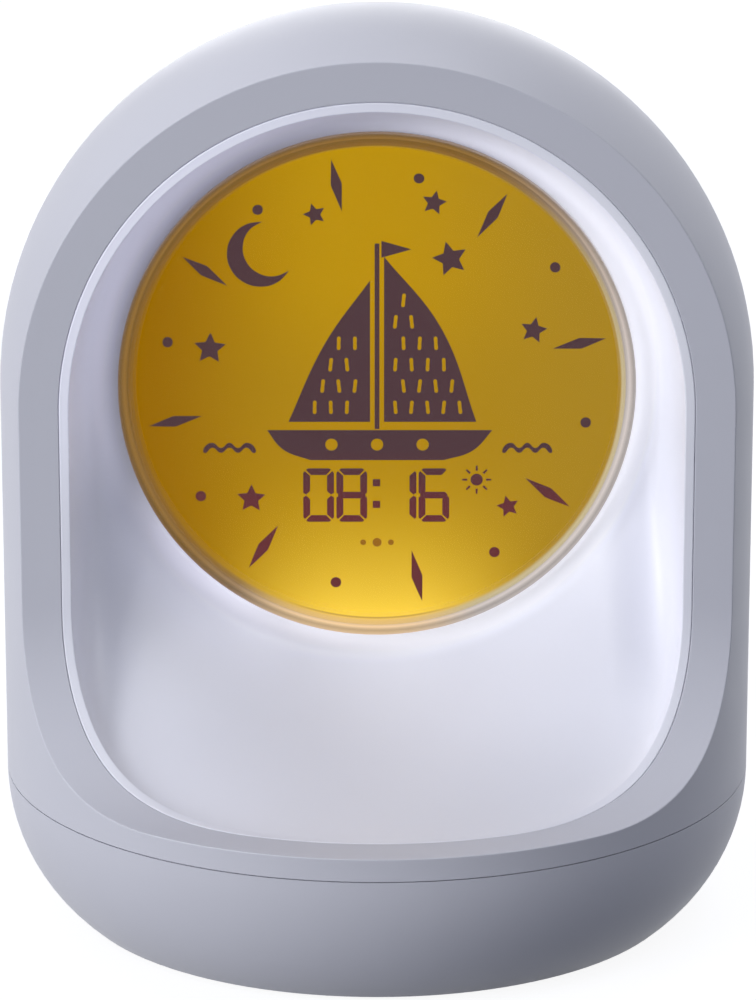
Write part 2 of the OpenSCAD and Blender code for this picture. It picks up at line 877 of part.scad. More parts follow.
module button_ribbon() color(liner_white) {
    start = [socket_rear - 2, dome_z + keys_socket[1]];
    end = [button_board_y - 2, button_z];
    mid_y = (start[0] + end[0]) / 2;
    ribbon(0, keys_cable_w, ribbon_t, [for (i = [0:16])
        bend(start, [mid_y, start[1] - 8], [mid_y, end[1] - 8], end, i / 16)]);
}

// Two leads, a pin's pitch apart, from a start to a socket on the main board. They leave along
// away, and reach the socket from out behind it.
pin_pitch = 2.5;
lead_handle = 16;
halo_lead_up = 4;
module lead_pair(start, away, s, out) {
    step = s[2] > s[3] ? [pin_pitch, 0, 0] : [0, 0, pin_pitch];
    pins = [s[0], socket_rear - 2, dome_z + s[1]];
    for (k = [0, 1])
        color(k == 0 ? wire_red : wire_black)
            translate((k - 0.5) * step)
                lead(start, start + away, pins + [0, out, 0], pins);
}

module halo_leads() {
    lead_pair([halo_out_r + lead_d / 2 + seat, halo_y + halo_board_t / 2, dome_z + halo_lead_up],
        [0, lead_handle, 0], halo_socket, lead_handle);
}

module backlight_leads() {
    lead_pair([-3, light_board_y + board_t + seat, dome_z + window_up], [0, 26, 0],
        light_socket, lead_handle);
}

module speaker_leads() {
    lead_pair([6, speaker_y - speaker_depth + 1, speaker_z + 16], [0, -8, 6], speaker_socket, 12);
}

module power_leads() {
    lead_pair([-3, usb_mouth_y - usb_board_l + 1.5, usb_board_z + board_t + lead_d / 2 + seat],
        [0, -lead_handle, 0], power_socket, lead_handle);
}

// ---------------------------------------------------------------- control panel

// Part of an upright tube between two radii that shows through a window at the back
module tube_window(r_out, r_in, grow) {
    intersection() {
        difference() {
            cylinder(r = r_out, h = dome_z, $fn = fine);
            translate([0, 0, -fuse]) cylinder(r = r_in, h = dome_z + 2 * fuse, $fn = fine);
        }
        panel_block(grow);
    }
}

// Anything built on the inside of the panel, cut off inside its skin and the shell's wall
module on_panel() {
    intersection() {
        children();
        cylinder(r = flange_r, h = dome_z, $fn = fine);
    }
}

module rear_panel() color(shell_grey) {
    difference() {
        union() {
            tube_window(panel_r, panel_in_r, -panel_gap);
            difference() {
                tube_window(flange_r, flange_r - flange_t, panel_flange);
                panel_block(-panel_flange);
            }
            on_panel() {
                for (b = button_spots)
                    rod(b, guide_end, button_z, button_bore + 2 * guide_wall, body_r);
            }
            on_panel() {
                for (x = [-1, 1])
                    rod(x * button_post_x, button_board_y + board_t, button_z, button_post_d, body_r);
            }
            on_panel() {
                difference() {
                    rod(0, gasket_y, speaker_z, speaker_d, body_r);
                    rod(0, gasket_y - fuse, speaker_z, speaker_d - 4, body_r);
                }
            }
            on_panel() {
                for (a = speaker_screw_angles)
                    rod(speaker_screw_r * cos(a), speaker_y, speaker_z + speaker_screw_r * sin(a),
                        speaker_post_d, body_r);
            }
            on_panel() {
                for (x = [-1, 1])
                    translate([x * usb_post_x, usb_mouth_y - usb_board_l, usb_board_z - usb_post_h])
                        translate([-usb_post_w / 2, 0, 0]) cube([usb_post_w, body_r, usb_post_h]);
            }
        }
        for (b = button_spots) rod(b, 0, button_z, button_bore, 2 * body_r);
        sound_holes();
        plate(usb_w + 1, usb_h + 1, (usb_h + 1) / 2 - 0.01, usb_mouth_y, body_r, usb_z);
        for (x = [-1, 1])
            rod(x * button_post_x, 0, button_z, screw_d + seat, panel_in_r - 3);
        for (a = speaker_screw_angles)
            rod(speaker_screw_r * cos(a), 0, speaker_z + speaker_screw_r * sin(a), screw_d + seat,
                panel_in_r - 2.5);
        for (x = [-1, 1])
            translate([x * usb_post_x, usb_screw_y, usb_board_z - usb_post_h + 0.5])
                cylinder(d = screw_d + seat, h = usb_post_h + fuse, $fn = small);
    }
}

// Holes for the sound: one in the middle and rings of six times the ring's number
module sound_holes() {
    for (ring = [0:sound_rings], k = [0:max(1, 6 * ring) - 1])
        let (a = 60 * k / max(1, ring), r = sound_pitch * ring)
            rod(r * cos(a), 0, speaker_z + r * sin(a), sound_hole_d, 2 * body_r);
}

// ---------------------------------------------------------------- buttons

button_bore = button_d + 2 * button_fit;
button_spots = [for (k = [0:button_n - 1]) (k - (button_n - 1) / 2) * button_pitch];
icon_depth = 0.3;
icon_w = 4;
icon_line = 0.8;
stem_tip = switch_y - stem_entry;

// A button cap with its collar and the stem that works the switch, and an icon sunk in its face
module button(k) {
    x = button_spots[k];
    difference() {
        union() {
            intersection() {
                rod(x, collar_y - fuse, button_z, button_d, body_r);
                cylinder(r = panel_r + button_proud, h = 2 * dome_z, $fn = fine);
            }
            rod(x, collar_y - collar_t, button_z, collar_d, collar_t);
            rod(x, stem_tip, button_z, stem_d, collar_y - stem_tip);
        }
        difference() {
            translate([x, 0, button_z]) rotate([90, 0, 180]) linear_extrude(2 * body_r) children();
            cylinder(r = panel_r + button_proud - icon_depth, h = 2 * dome_z, $fn = fine);
        }
    }
}

// Half moon for the night light
module button_light() color(liner_white) {
    button(0) difference() {
        circle(d = icon_w, $fn = small);
        translate([icon_w * 0.28, icon_w * 0.12]) circle(d = icon_w * 0.85, $fn = small);
    }
}

module button_minus() color(liner_white) {
    button(1) square([icon_w * 0.8, icon_line], center = true);
}

// Clock face for the mode
module button_mode() color(liner_white) {
    button(2) {
        difference() {
            circle(d = icon_w, $fn = small);
            circle(d = icon_w - 1.4 * icon_line, $fn = small);
        }
        translate([-icon_line / 4, -icon_line / 4]) square([icon_line / 2, icon_w * 0.36]);
        translate([-icon_line / 4, -icon_line / 4]) square([icon_w * 0.3, icon_line / 2]);
    }
}

module button_plus() color(liner_white) {
    button(3) {
        square([icon_w * 0.8, icon_line], center = true);
        square([icon_line, icon_w * 0.8], center = true);
    }
}

// Bell for the alarm
module button_alarm() color(liner_white) {
    button(4) {
        translate([0, icon_w * 0.1]) circle(d = icon_w * 0.55, $fn = small);
        translate([-icon_w * 0.275, -icon_w * 0.22]) square([icon_w * 0.55, icon_w * 0.32]);
        translate([-icon_w * 0.42, -icon_w * 0.3]) square([icon_w * 0.84, icon_line * 0.6]);
        translate([0, -icon_w * 0.42]) circle(d = icon_line, $fn = small);
    }
}

plug_w = 17;
plug_h = 5;
plug_t = 3;
keys_cable_w = 14;
module button_board() color(board_green) {
    difference() {
        plate(button_board_w, button_board_h, 2, button_board_y, board_t, button_z);
        for (x = [-1, 1])
            rod(x * button_post_x, button_board_y - fuse, button_z, screw_d + 0.4, board_t + 2 * fuse);
    }
    difference() {
        plate(plug_w, plug_h, 0.4, button_board_y - plug_t, plug_t, button_z);
        plate(plug_w - 2 * socket_wall, plug_h - 2 * socket_wall, 0.3, button_board_y - plug_t - 1, plug_t,
            button_z);
    }
}

module button_switches() color(dark_plastic) {
    for (b = button_spots)
        difference() {
            translate([b, 0, 0])
                plate(switch_w, switch_w, 0.4, button_board_y + board_t, switch_h, button_z);
            rod(b, switch_y - well_depth, button_z, stem_d + 0.6, well_depth + fuse);
        }
}

module button_board_screws() color(steel) {
    for (x = [-1, 1]) screw_at(x * button_post_x, button_board_y, button_z, short_screw, -1);
}

// ---------------------------------------------------------------- speaker

speaker_screw_angles = [45, 135, 225, 315];

// Turns a speaker part that is drawn with its mouth up so that the mouth faces the back
module at_speaker() {
    translate([0, speaker_y, speaker_z]) to_back() children();
}

module speaker_frame() color(dark_plastic) {
    at_speaker() {
        rotate_extrude($fn = mid)
            polygon([
                [speaker_r, 0], [speaker_r, -speaker_flange_t], [speaker_r - 2, -speaker_flange_t],
                [magnet_d / 2 + 1, -speaker_depth], [magnet_d / 2 - 3, -speaker_depth],
                [magnet_d / 2 - 3, 1 - speaker_depth], [magnet_d / 2 + 0.4, 1 - speaker_depth],
                [speaker_r - 3.2, -speaker_flange_t], [speaker_r - 3.2, 0]
            ]);
        for (a = speaker_screw_angles)
            rotate(a)
                difference() {
                    union() {
                        translate([speaker_r - 1.5, -3, -speaker_flange_t])
                            cube([speaker_screw_r - speaker_r + 1.5, 6, speaker_flange_t]);
                        translate([speaker_screw_r, 0, -speaker_flange_t])
                            cylinder(d = 6, h = speaker_flange_t, $fn = small);
                    }
                    translate([speaker_screw_r, 0, -speaker_flange_t - fuse])
                        cylinder(d = screw_d + 0.4, h = speaker_flange_t + 2 * fuse, $fn = small);
                }
    }
}

// Paper cone with its rolled surround and a dust cap
module speaker_cone() color([0.25, 0.25, 0.27]) {
    cone_r = speaker_r - 3.4;
    roll = 1.2;
    at_speaker()
        rotate_extrude($fn = mid) {
            difference() {
                translate([cone_r - roll, 0]) intersection() {
                    circle(roll, $fn = small);
                    translate([-roll, -0.4]) square([2 * roll, roll + 0.3]);
                }
                translate([cone_r - roll, -0.4]) circle(roll - 0.5, $fn = small);
            }
            polygon([
                [cone_r - 2 * roll + 0.3, 0], [cone_r - 2 * roll + 0.3, -0.4], [5, 1.4 - speaker_depth],
                [0, 1.4 - speaker_depth], [0, 2.2 - speaker_depth], [5, 2.2 - speaker_depth]
            ]);
        }
}

module speaker_magnet() color(steel) {
    at_speaker()
        translate([0, 0, -speaker_depth - magnet_t]) {
            cylinder(d = magnet_d, h = magnet_t, $fn = mid);
            cylinder(d = magnet_d + 2, h = 1.2, $fn = mid);
        }
}

module speaker_gasket() color(dark_plastic) {
    at_speaker()
        difference() {
            cylinder(d = speaker_d, h = gasket_t, $fn = mid);
            translate([0, 0, -fuse]) cylinder(d = speaker_d - 4.5, h = gasket_t + 2 * fuse, $fn = mid);
        }
}

module speaker_screws() color(steel) {
    for (a = speaker_screw_angles)
        screw_at(speaker_screw_r * cos(a), speaker_y - speaker_flange_t,
            speaker_z + speaker_screw_r * sin(a), short_screw, -1);
}

// ---------------------------------------------------------------- power inlet

module usb_board() color(board_green) {
    difference() {
        translate([-usb_board_w / 2, usb_mouth_y - usb_board_l, usb_board_z])
            cube([usb_board_w, usb_board_l - 1.5, board_t]);
        for (x = [-1, 1])
            translate([x * usb_post_x, usb_screw_y, usb_board_z - fuse])
                cylinder(d = screw_d + 0.4, h = board_t + 2 * fuse, $fn = small);
    }
}

module usb_socket() {
    start = usb_mouth_y - usb_len;
    color(steel)
        difference() {
            plate(usb_w, usb_h, usb_h / 2 - 0.01, start, usb_len, usb_z);
            plate(usb_w - 0.7, usb_h - 0.7, usb_h / 2 - 0.4, start + 1, usb_len, usb_z);
        }
    color(dark_plastic) plate(usb_w - 2.6, 0.8, 0.2, start + 0.5, usb_len - 1.6, usb_z);
}

module usb_board_screws() color(steel) {
    for (x = [-1, 1])
        translate([x * usb_post_x, usb_screw_y, usb_board_z + board_t])
            screw(screw_d, short_screw, head_d, head_h);
}

// ---------------------------------------------------------------- nodes

outer_shell();
base_cup();
niche_liner();
display_lens();
lcd_panel();
display_seal();
diffuser_sheet();
reflector_tray();
backlight_board();
backlight_leds();
display_carrier();
carrier_screws();
halo_board();
halo_leds();
main_board();
board_screws();
main_processor();
wireless_module();
board_capacitors();
board_connectors();
lcd_ribbon();
rear_panel();
button_board();
button_switches();
button_board_screws();
button_light();
button_minus();
button_mode();
button_plus();
button_alarm();
button_ribbon();
speaker_frame();
speaker_cone();
speaker_magnet();
speaker_gasket();
speaker_screws();
speaker_leads();
usb_board();
usb_socket();
usb_board_screws();
power_leads();
halo_leads();
backlight_leads();
base_screws();
rubber_feet();
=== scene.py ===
"""Looks of a bedside clock: a ball-topped grey body, a white lit niche and a round amber display."""
import math

import bmesh
import bpy
from mathutils import Matrix, Vector


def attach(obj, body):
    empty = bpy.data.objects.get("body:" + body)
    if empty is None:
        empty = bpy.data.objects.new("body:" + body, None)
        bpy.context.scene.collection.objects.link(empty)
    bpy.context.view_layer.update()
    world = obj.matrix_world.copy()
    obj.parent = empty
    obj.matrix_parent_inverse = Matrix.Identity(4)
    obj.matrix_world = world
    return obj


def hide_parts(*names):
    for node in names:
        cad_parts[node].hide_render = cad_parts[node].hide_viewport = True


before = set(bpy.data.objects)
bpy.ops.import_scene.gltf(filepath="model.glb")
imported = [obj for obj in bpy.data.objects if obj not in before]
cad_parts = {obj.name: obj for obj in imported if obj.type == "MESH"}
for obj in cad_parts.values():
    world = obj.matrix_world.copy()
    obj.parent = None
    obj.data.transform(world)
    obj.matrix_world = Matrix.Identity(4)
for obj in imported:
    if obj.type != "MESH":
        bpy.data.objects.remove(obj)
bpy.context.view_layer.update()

MM = 0.001

# The same sizes as in the part's source, in millimetres.
BODY_R, DOME_Z, SHELL_WALL = 70.0, 101.5, 2.6
FACE_Y, FACE_SWEEP, LEDGE_Z = 25.4, 32.0, 32.0
NICHE_R, NICHE_BACK = 64.2151, 2.5151
LIP_GAP, LIP_W = 0.04, 1.6
LIP_R = NICHE_R - LIP_GAP
COVE_R = LIP_R - LIP_W
BACK_Y, LINER_T = 4.0, 2.0
LENS_R, LENS_T, VIEW_R, BEZEL_T = 48.0, 4.0, 45.65, 1.2
PANEL_Y, SEAL_T = -1.5, 0.5
UPRIGHT = DOME_Z - LEDGE_Z - FACE_SWEEP
DIAL = Vector((0, 0, DOME_Z)) * MM


# ---------------------------------------------------------------- shader maths

class Value:
    """A socket in shader maths: an expression on values adds its Math nodes."""

    def __init__(self, paint, socket):
        self.paint, self.socket = paint, socket

    def math(self, operation, *terms):
        return self.paint.node("ShaderNodeMath", {"operation": operation}, dict(enumerate(terms)))

    def __add__(self, other):
        return self.math("ADD", self, other)

    def __sub__(self, other):
        return self.math("SUBTRACT", self, other)

    def __rsub__(self, other):
        return self.math("SUBTRACT", other, self)

    def __mul__(self, other):
        return self.math("MULTIPLY", self, other)

    def __truediv__(self, other):
        return self.math("DIVIDE", self, other)

    __radd__, __rmul__ = __add__, __mul__

    def between(self, low, high):
        """0 at low, 1 at high, smooth in between."""
        return self.paint.node(
            "ShaderNodeMapRange", {"interpolation_type": "SMOOTHSTEP"},
            {"Value": self, "From Min": low, "From Max": high})


class Paint:
    """A material on one Principled shader, whose fixed values are set on the shader's own sockets."""

    def __init__(self, name, **fixed):
        self.material = bpy.data.materials.new(name)
        self.material.use_nodes = True
        self.tree = self.material.node_tree
        self.shader = self.tree.nodes["Principled BSDF"]
        self.set(**fixed)
        self.place = self.node("ShaderNodeTexCoord", output="Object")

    def feed(self, socket, value):
        if isinstance(value, Value):
            self.tree.links.new(value.socket, socket)
        else:
            socket.default_value = value

    def set(self, **looks):
        for words, value in looks.items():
            self.feed(self.shader.inputs[words.replace("_", " ")], value)
        return self

    def node(self, kind, settings=None, inputs=None, output=0):
        """A new node with its settings and inputs; the stops of a colour ramp are given as a setting."""
        made = self.tree.nodes.new(kind)
        for key, value in (settings or {}).items():
            if key == "stops":
                ramp = made.color_ramp
                while len(ramp.elements) < len(value):
                    ramp.elements.new(0.5)
                for stop, (place, colour) in zip(ramp.elements, value):
                    stop.position, stop.color = place, colour
            else:
                setattr(made, key, value)
        for key, value in (inputs or {}).items():
            self.feed(made.inputs[key], value)
        return Value(self, made.outputs[output])

    def mix(self, share, first, second):
        """A colour that goes from first to second."""
        return self.node("ShaderNodeMix", {"data_type": "RGBA"}, {0: share, 6: first, 7: second}, output=2)

    def noise(self, size, detail, rough=0.5):
        """Noise from 0 to 1 whose blots are about size millimetres wide."""
        return self.node(
            "ShaderNodeTexNoise", {"noise_dimensions": "3D"},
            {"Vector": self.place, "Scale": 1 / (size * MM), "Detail": detail, "Roughness": rough})

    def bump(self, height, depth):
        """Relief of a height value, depth millimetres at the most."""
        return self.node("ShaderNodeBump", None, {"Height": height, "Distance": depth * MM, "Strength": 1.0})

    def split(self):
        """X, Y and Z of the place on the piece, in metres."""
        parts = self.tree.nodes.new("ShaderNodeSeparateXYZ")
        self.feed(parts.inputs[0], self.place)
        return [Value(self, out) for out in parts.outputs]


def colour(red, green, blue):
    """An opaque linear colour from screen values of 0 to 255."""
    def linear(v):
        v /= 255
        return v / 12.92 if v <= 0.04045 else ((v + 0.055) / 1.055) ** 2.4
    return (linear(red), linear(green), linear(blue), 1.0)


def shade(tone, by):
    """The colour, lighter or darker by a factor."""
    return tuple(min(1.0, c * by) for c in tone[:3]) + (tone[3],)


# ---------------------------------------------------------------- materials

def moulded(name, tone, roughness, grain=0.35, grain_depth=0.004, mottle=0.02, **fixed):
    """Moulded plastic: a fine spark-eroded grain, and a slight drift of tone and gloss."""
    paint = Paint(name, IOR=1.5, **fixed)
    drift = paint.noise(28, detail=3)
    paint.set(
        Base_Color=paint.mix(drift, shade(tone, 1 - mottle), shade(tone, 1 + mottle)),
        Roughness=roughness + 0.08 * (paint.noise(9, detail=2) - 0.5),
        Normal=paint.bump(paint.noise(grain, detail=2, rough=0.6), grain_depth))
    return paint


SHELL_TONE = colour(200, 201, 212)
LINER_TONE = colour(234, 235, 246)

shell_plastic = moulded("shell_plastic", SHELL_TONE, 0.46, Specular_IOR_Level=0.35).material
button_plastic = moulded("button_plastic", LINER_TONE, 0.42).material
dark_plastic = moulded("dark_plastic", (0.012, 0.012, 0.014, 1), 0.5, mottle=0.15).material
white_plastic = moulded("white_plastic", colour(228, 228, 226), 0.5).material


def brushed_metal(name, tone, roughness):
    """Turned or rolled metal with fine lines."""
    paint = Paint(name, Metallic=1.0)
    lines = paint.noise(0.5, detail=3)
    paint.set(Base_Color=paint.mix(lines, shade(tone, 0.9), tone), Roughness=roughness + 0.15 * (lines - 0.5),
              Normal=paint.bump(lines, 0.004))
    return paint.material


def solder_mask(name, tone):
    """Lacquered board: tracks that show through the lacquer as a pattern of slightly raised lanes."""
    paint = Paint(name, Roughness=0.3)
    lanes = paint.node("ShaderNodeTexBrick", {"offset": 0.37, "squash": 1.0}, {
        "Vector": paint.place, "Scale": 1 / (9 * MM), "Mortar Size": 0.035, "Mortar Smooth": 0.1,
        "Color1": (0, 0, 0, 1), "Color2": (0.12, 0.12, 0.12, 1), "Mortar": (1, 1, 1, 1)})
    paint.set(Base_Color=paint.mix(lanes, tone, shade(tone, 2.2)), Normal=paint.bump(lanes, 0.02))
    return paint.material


def rubbery(name, tone, roughness):
    """Rubber, foam or paper: a dull skin with fine pores."""
    paint = Paint(name)
    pores = paint.noise(0.6, detail=4, rough=0.7)
    paint.set(Base_Color=paint.mix(pores, shade(tone, 0.8), shade(tone, 1.2)), Roughness=roughness,
              Normal=paint.bump(pores, 0.02))
    return paint.material


def film(name, tone, stripe):
    """Flat cable: conductors that show through the film as stripes along it."""
    paint = Paint(name, Roughness=0.28)
    x, _, _ = paint.split()
    stripes = x.math("PINGPONG", x, 0.5 * MM) / (0.5 * MM)
    paint.set(Base_Color=paint.mix(stripes.between(0.35, 0.65), tone, stripe),
              Normal=paint.bump(stripes, 0.02))
    return paint.material


steel = brushed_metal("steel", (0.62, 0.62, 0.63, 1), 0.32)
board_green = solder_mask("board_green", (0.012, 0.085, 0.035, 1))
foam = rubbery("foam", (0.012, 0.012, 0.013, 1), 0.95)
foot_rubber = rubbery("foot_rubber", (0.03, 0.03, 0.033, 1), 0.7)
flat_cable = film("flat_cable", (0.42, 0.16, 0.02, 1), (0.55, 0.30, 0.10, 1))
lead_cover = moulded("lead_cover", (0.35, 0.02, 0.015, 1), 0.4).material
speaker_paper = rubbery("speaker_paper", (0.02, 0.02, 0.022, 1), 0.9)
led_resin = moulded("led_resin", (0.85, 0.78, 0.45, 1), 0.25).material


def facing(degrees, right, up, reach):
    """Cosine of the angle between a point and a direction round the dial, anticlockwise from the right."""
    return (right * math.cos(math.radians(degrees)) + up * math.sin(math.radians(degrees))) / reach


def dial_place(paint):
    """A point's way to the right of and above the dial's centre, and its distance from it, in millimetres."""
    x, _, z = paint.split()
    right, up = x / MM, z / MM - DOME_Z
    square = right * right + up * up
    return right, up, square.math("SQRT", square)


# Lobes of the light painted on the niche. This painted glow stands in for the display's light through the
# plastic and for the lamps' light and shade on its walls: strength, direction, and the cosines from it at
# which a lobe starts and is full.
NEAR_LOBES = ((0.68, -12, -0.86, 2), (0.24, -136, 0.91, 1), (0.1, -78, 0.8, 1))
MIDDLE_LOBES = ((0.12, -121, 0.86, 1),)
FAR_LOBES = ((0.51, 144, 0.22, 1.04), (0.22, 44, 0.6, 1), (0.23, -130, 0.9, 1), (0.1, -98, 0.9, 1))
# Between which distances from the lens's edge their light rises or fades.
NEAR_FADE, MIDDLE_FADE, FAR_RISE, FAR_FADE = (0.1, 5.5), (1.5, 6), (0.2, 4.4), (-3.2, 16)
# Direction of the whiter light, and the light's colours away from it and toward it.
WHITER_SIDE = -20
GLOW_LEFT, GLOW_RIGHT, BLACK = (0.77, 0.77, 1, 1), (0.97, 0.97, 1, 1), (0, 0, 0, 1)


def painted_glow_liner():
    """White niche with painted light round the lens, standing in for the display's light through its plastic
    and for the lamps' light and shade on its walls: most at the right, least on top.
    """
    paint = moulded("painted_glow_liner", LINER_TONE, 0.42)
    right, up, reach = dial_place(paint)
    off = reach - LENS_R

    def light(lobes):
        total = 0
        for strength, degrees, start, full in lobes:
            total = strength * facing(degrees, right, up, reach).between(start, full) + total
        return total

    near = light(NEAR_LOBES) * (1 - off.between(*NEAR_FADE))
    middle = light(MIDDLE_LOBES) * (1 - off.between(*MIDDLE_FADE))
    far = light(FAR_LOBES) * off.between(*FAR_RISE) * (1 - off.between(*FAR_FADE))
    tone = paint.mix(facing(WHITER_SIDE, right, up, reach).between(-0.6, 0.7), GLOW_LEFT, GLOW_RIGHT)
    # The painted glow goes into the emission of the liner, which is no lamp.
    paint.set(Emission_Color=paint.mix(near + middle + far, BLACK, tone), Emission_Strength=1.0)
    return paint.material


def lens_resin():
    """Clear lens with a coating that takes most of the mirroring off its faces."""
    return Paint("lens_clear", Base_Color=(1, 1, 1, 1), Roughness=0.02, IOR=1.49, Transmission_Weight=1.0,
                 Specular_Tint=(0.05, 0.05, 0.05, 1)).material


AMBER, AMBER_LEFT, AMBER_RIGHT = colour(187, 144, 8), colour(150, 104, 0), colour(168, 131, 32)
AMBER_MIDDLE, AMBER_LOW = colour(152, 116, 26), colour(255, 212, 70)


def amber_light(paint, right, up):
    """Light of the display's amber ground: brighter low down, dimmer at the left and duller at the right."""
    aside = right.math("ABSOLUTE", right)
    glow = paint.mix(right.between(-6, -46), AMBER, AMBER_LEFT)
    glow = paint.mix(right.between(0, 44), glow, AMBER_RIGHT)
    off_level = (up + 6).math("ABSOLUTE", up + 6)
    dull = 0.36 * (1 - off_level.between(2, 28)) * (1 - aside.between(10, 46))
    glow = paint.mix(dull, glow, AMBER_MIDDLE)
    down = (-10 - up) / 35
    down = down.math("MAXIMUM", down, 0)
    low = down.math("POWER", down, 2.5) * (1 - aside.between(4, 36))
    return paint.mix(low, glow, AMBER_LOW)


def lit_crystal():
    """Ground of the liquid crystal picture, lit from behind."""
    paint = Paint("lit_crystal", Base_Color=(0.008, 0.006, 0.001, 1), Roughness=0.5, Specular_IOR_Level=0.0)
    right, up, _ = dial_place(paint)
    return paint.set(Emission_Color=amber_light(paint, right, up), Emission_Strength=1.0).material


def crystal_shadow(name, tone, reddish):
    """Segments of the picture that block most of the light, redder low down where more comes through."""
    paint = Paint(name, Base_Color=(0.006, 0.004, 0.005, 1), Roughness=0.5, Specular_IOR_Level=0.05)
    _, up, _ = dial_place(paint)
    paint.set(Emission_Color=paint.mix(up.between(-12, -26), tone, reddish), Emission_Strength=1.0)
    return paint.material


# Painted light on the bezel: its tones in the display's light, in a painted reflection of the niche's glow and
# at the display's bright foot. Also how much of them its bead, groove and band give back, as (radius, share)
# pairs, which is painted shade and highlight on those rings. The bead, up to WARM_R, is warmer.
BEZEL_AMBER, BEZEL_PALE, BEZEL_BRIGHT = colour(148, 110, 50), colour(216, 206, 202), colour(255, 216, 164)
BEZEL_RELIEF_SHADE = ((45.68, 0.82), (45.92, 0.8), (46.17, 0.65), (46.45, 1.0), (46.85, 0.54), (47.1, 0.73))
WARM_R, WARM = 46, (1, 0.93, 0.58)
# Colour of the painted highlight line low on the sleeve's wall.
GOLD_HIGHLIGHT = colour(204, 161, 72)
# On the sleeve's wall, as values of y: where the painted gold highlight line rises and falls, where the
# display's painted light gives way to the bands' colours, and how much nearer the front that is low down.
LINE_RISE, LINE_FALL, WALL_FADE, LOW_SHIFT = (-3.85, -3.35), (-2.65, -3.05), (-3.8, -1.6), 1.1


def painted_light_bezel():
    """Satin ring under the lens's edge whose tones are painted light: bands of the display's light, a painted
    reflection of the niche's glow, painted shade on its bead, groove and band, and a painted highlight line
    low on its sleeve.
    """
    paint = Paint("painted_light_bezel", Base_Color=(0.02, 0.016, 0.012, 1), Roughness=0.6, Specular_IOR_Level=0.2)
    right, up, reach = dial_place(paint)
    depth = paint.split()[1] / MM
    share = (reach - VIEW_R) / (LENS_R - VIEW_R)

    def toward(degrees):
        return facing(degrees, right, up, reach)

    tone = paint.mix(toward(-35).between(-0.3, 0.98), BEZEL_AMBER, BEZEL_PALE)
    tone = paint.mix(toward(-95).between(0.86, 1.02), tone, BEZEL_BRIGHT)
    stops = []
    for r, given in BEZEL_RELIEF_SHADE:
        tint = WARM if r < WARM_R else (1, 1, 1)
        stops.append(((r - VIEW_R) / (LENS_R - VIEW_R), (*(given * t for t in tint), 1)))
    relief_shade = paint.node("ShaderNodeValToRGB", {"stops": stops}, {"Fac": share})
    tone = paint.node("ShaderNodeMix", {"data_type": "RGBA", "blend_type": "MULTIPLY"},
                      {0: 1.0, 6: tone, 7: relief_shade}, output=2)
    # A painted highlight line on the sleeve's wall, only at the bottom.
    line = depth.between(*LINE_RISE) * depth.between(*LINE_FALL) * toward(-92).between(0.9, 0.99)
    along = depth + LOW_SHIFT * toward(-80).between(0, 0.6)
    wall = paint.mix(along.between(*WALL_FADE), tone, amber_light(paint, right, up))
    wall = paint.mix(0.9 * line, wall, GOLD_HIGHLIGHT)
    tone = paint.mix(reach.between(VIEW_R + 0.005, VIEW_R + 0.02), wall, tone)
    return paint.set(Emission_Color=tone, Emission_Strength=0.97).material


# The liner's material carries the painted glow and the painted light and shade round the lens.
liner_painted_glow = painted_glow_liner()
lens_clear = lens_resin()
amber_crystal = lit_crystal()
picture_dark = crystal_shadow("picture_dark", colour(76, 53, 58), colour(100, 46, 50))
picture_faint = crystal_shadow("picture_faint", colour(140, 96, 30), colour(150, 100, 24))
# The bezel's material carries painted reflections, painted shade and a painted highlight line.
bezel_painted_light = painted_light_bezel()

FINISH = {
    "shell_grey": shell_plastic, "liner_white": white_plastic, "lens_clear": lens_clear,
    "lcd_glass": amber_crystal, "foam_dark": foam, "led": led_resin, "dark_plastic": dark_plastic,
    "screw_steel": steel, "board_green": board_green, "flat_cable": flat_cable,
    "button_white": button_plastic, "speaker_paper": speaker_paper, "magnet_steel": steel,
    "lead_cover": lead_cover, "socket_steel": steel, "foot_rubber": foot_rubber,
}
for name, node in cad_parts.items():
    for place in node.material_slots:
        place.material = FINISH[place.material.name.split(".")[0]]
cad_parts["niche_liner"].material_slots[0].material = liner_painted_glow


# ---------------------------------------------------------------- forms of the case

# Stations of the niche's and the body's edge: over the arch, and on down the face's run.
ARCH_STEPS, RUN_STEPS = 48, 72
STATIONS = ARCH_STEPS + RUN_STEPS


def face_run(s, depth):
    """(y, z) after a run of s down the face's section and over its ledge, set back by depth."""
    sweep = FACE_SWEEP + depth
    if s <= UPRIGHT:
        return depth - FACE_Y, DOME_Z - s
    turn = (s - UPRIGHT) / sweep
    if turn <= math.pi / 2:
        return sweep * math.cos(turn) - FACE_Y - FACE_SWEEP, LEDGE_Z + FACE_SWEEP - sweep * math.sin(turn)
    return -FACE_Y - FACE_SWEEP - (s - UPRIGHT - sweep * math.pi / 2), LEDGE_Z - depth


def run_length(r, back, depth):
    """Length of the run at which a drum of radius r, whose axis is back behind the body's, ends."""
    ahead = r - back - FACE_Y - FACE_SWEEP
    sweep = FACE_SWEEP + depth
    turn = math.pi / 2 if ahead >= 0 else math.acos(-ahead / sweep)
    return UPRIGHT + sweep * turn + max(0.0, ahead)


def edge(j, r, back, depth=0.0):
    """Station j of the edge that a ball-topped drum cuts into the face, from the top to the front."""
    if j <= ARCH_STEPS:
        turn = math.pi / 2 * (1 - j / ARCH_STEPS)
        arch = math.sqrt(r ** 2 - (FACE_Y - depth + back) ** 2)
        return Vector((arch * math.cos(turn), depth - FACE_Y, DOME_Z + arch * math.sin(turn)))
    share = math.sin(math.pi / 2 * (j - ARCH_STEPS) / RUN_STEPS)
    y, z = face_run(share * run_length(r, back, depth), depth)
    return Vector((math.sqrt(max(0.0, r ** 2 - (y - back) ** 2)), y, z))


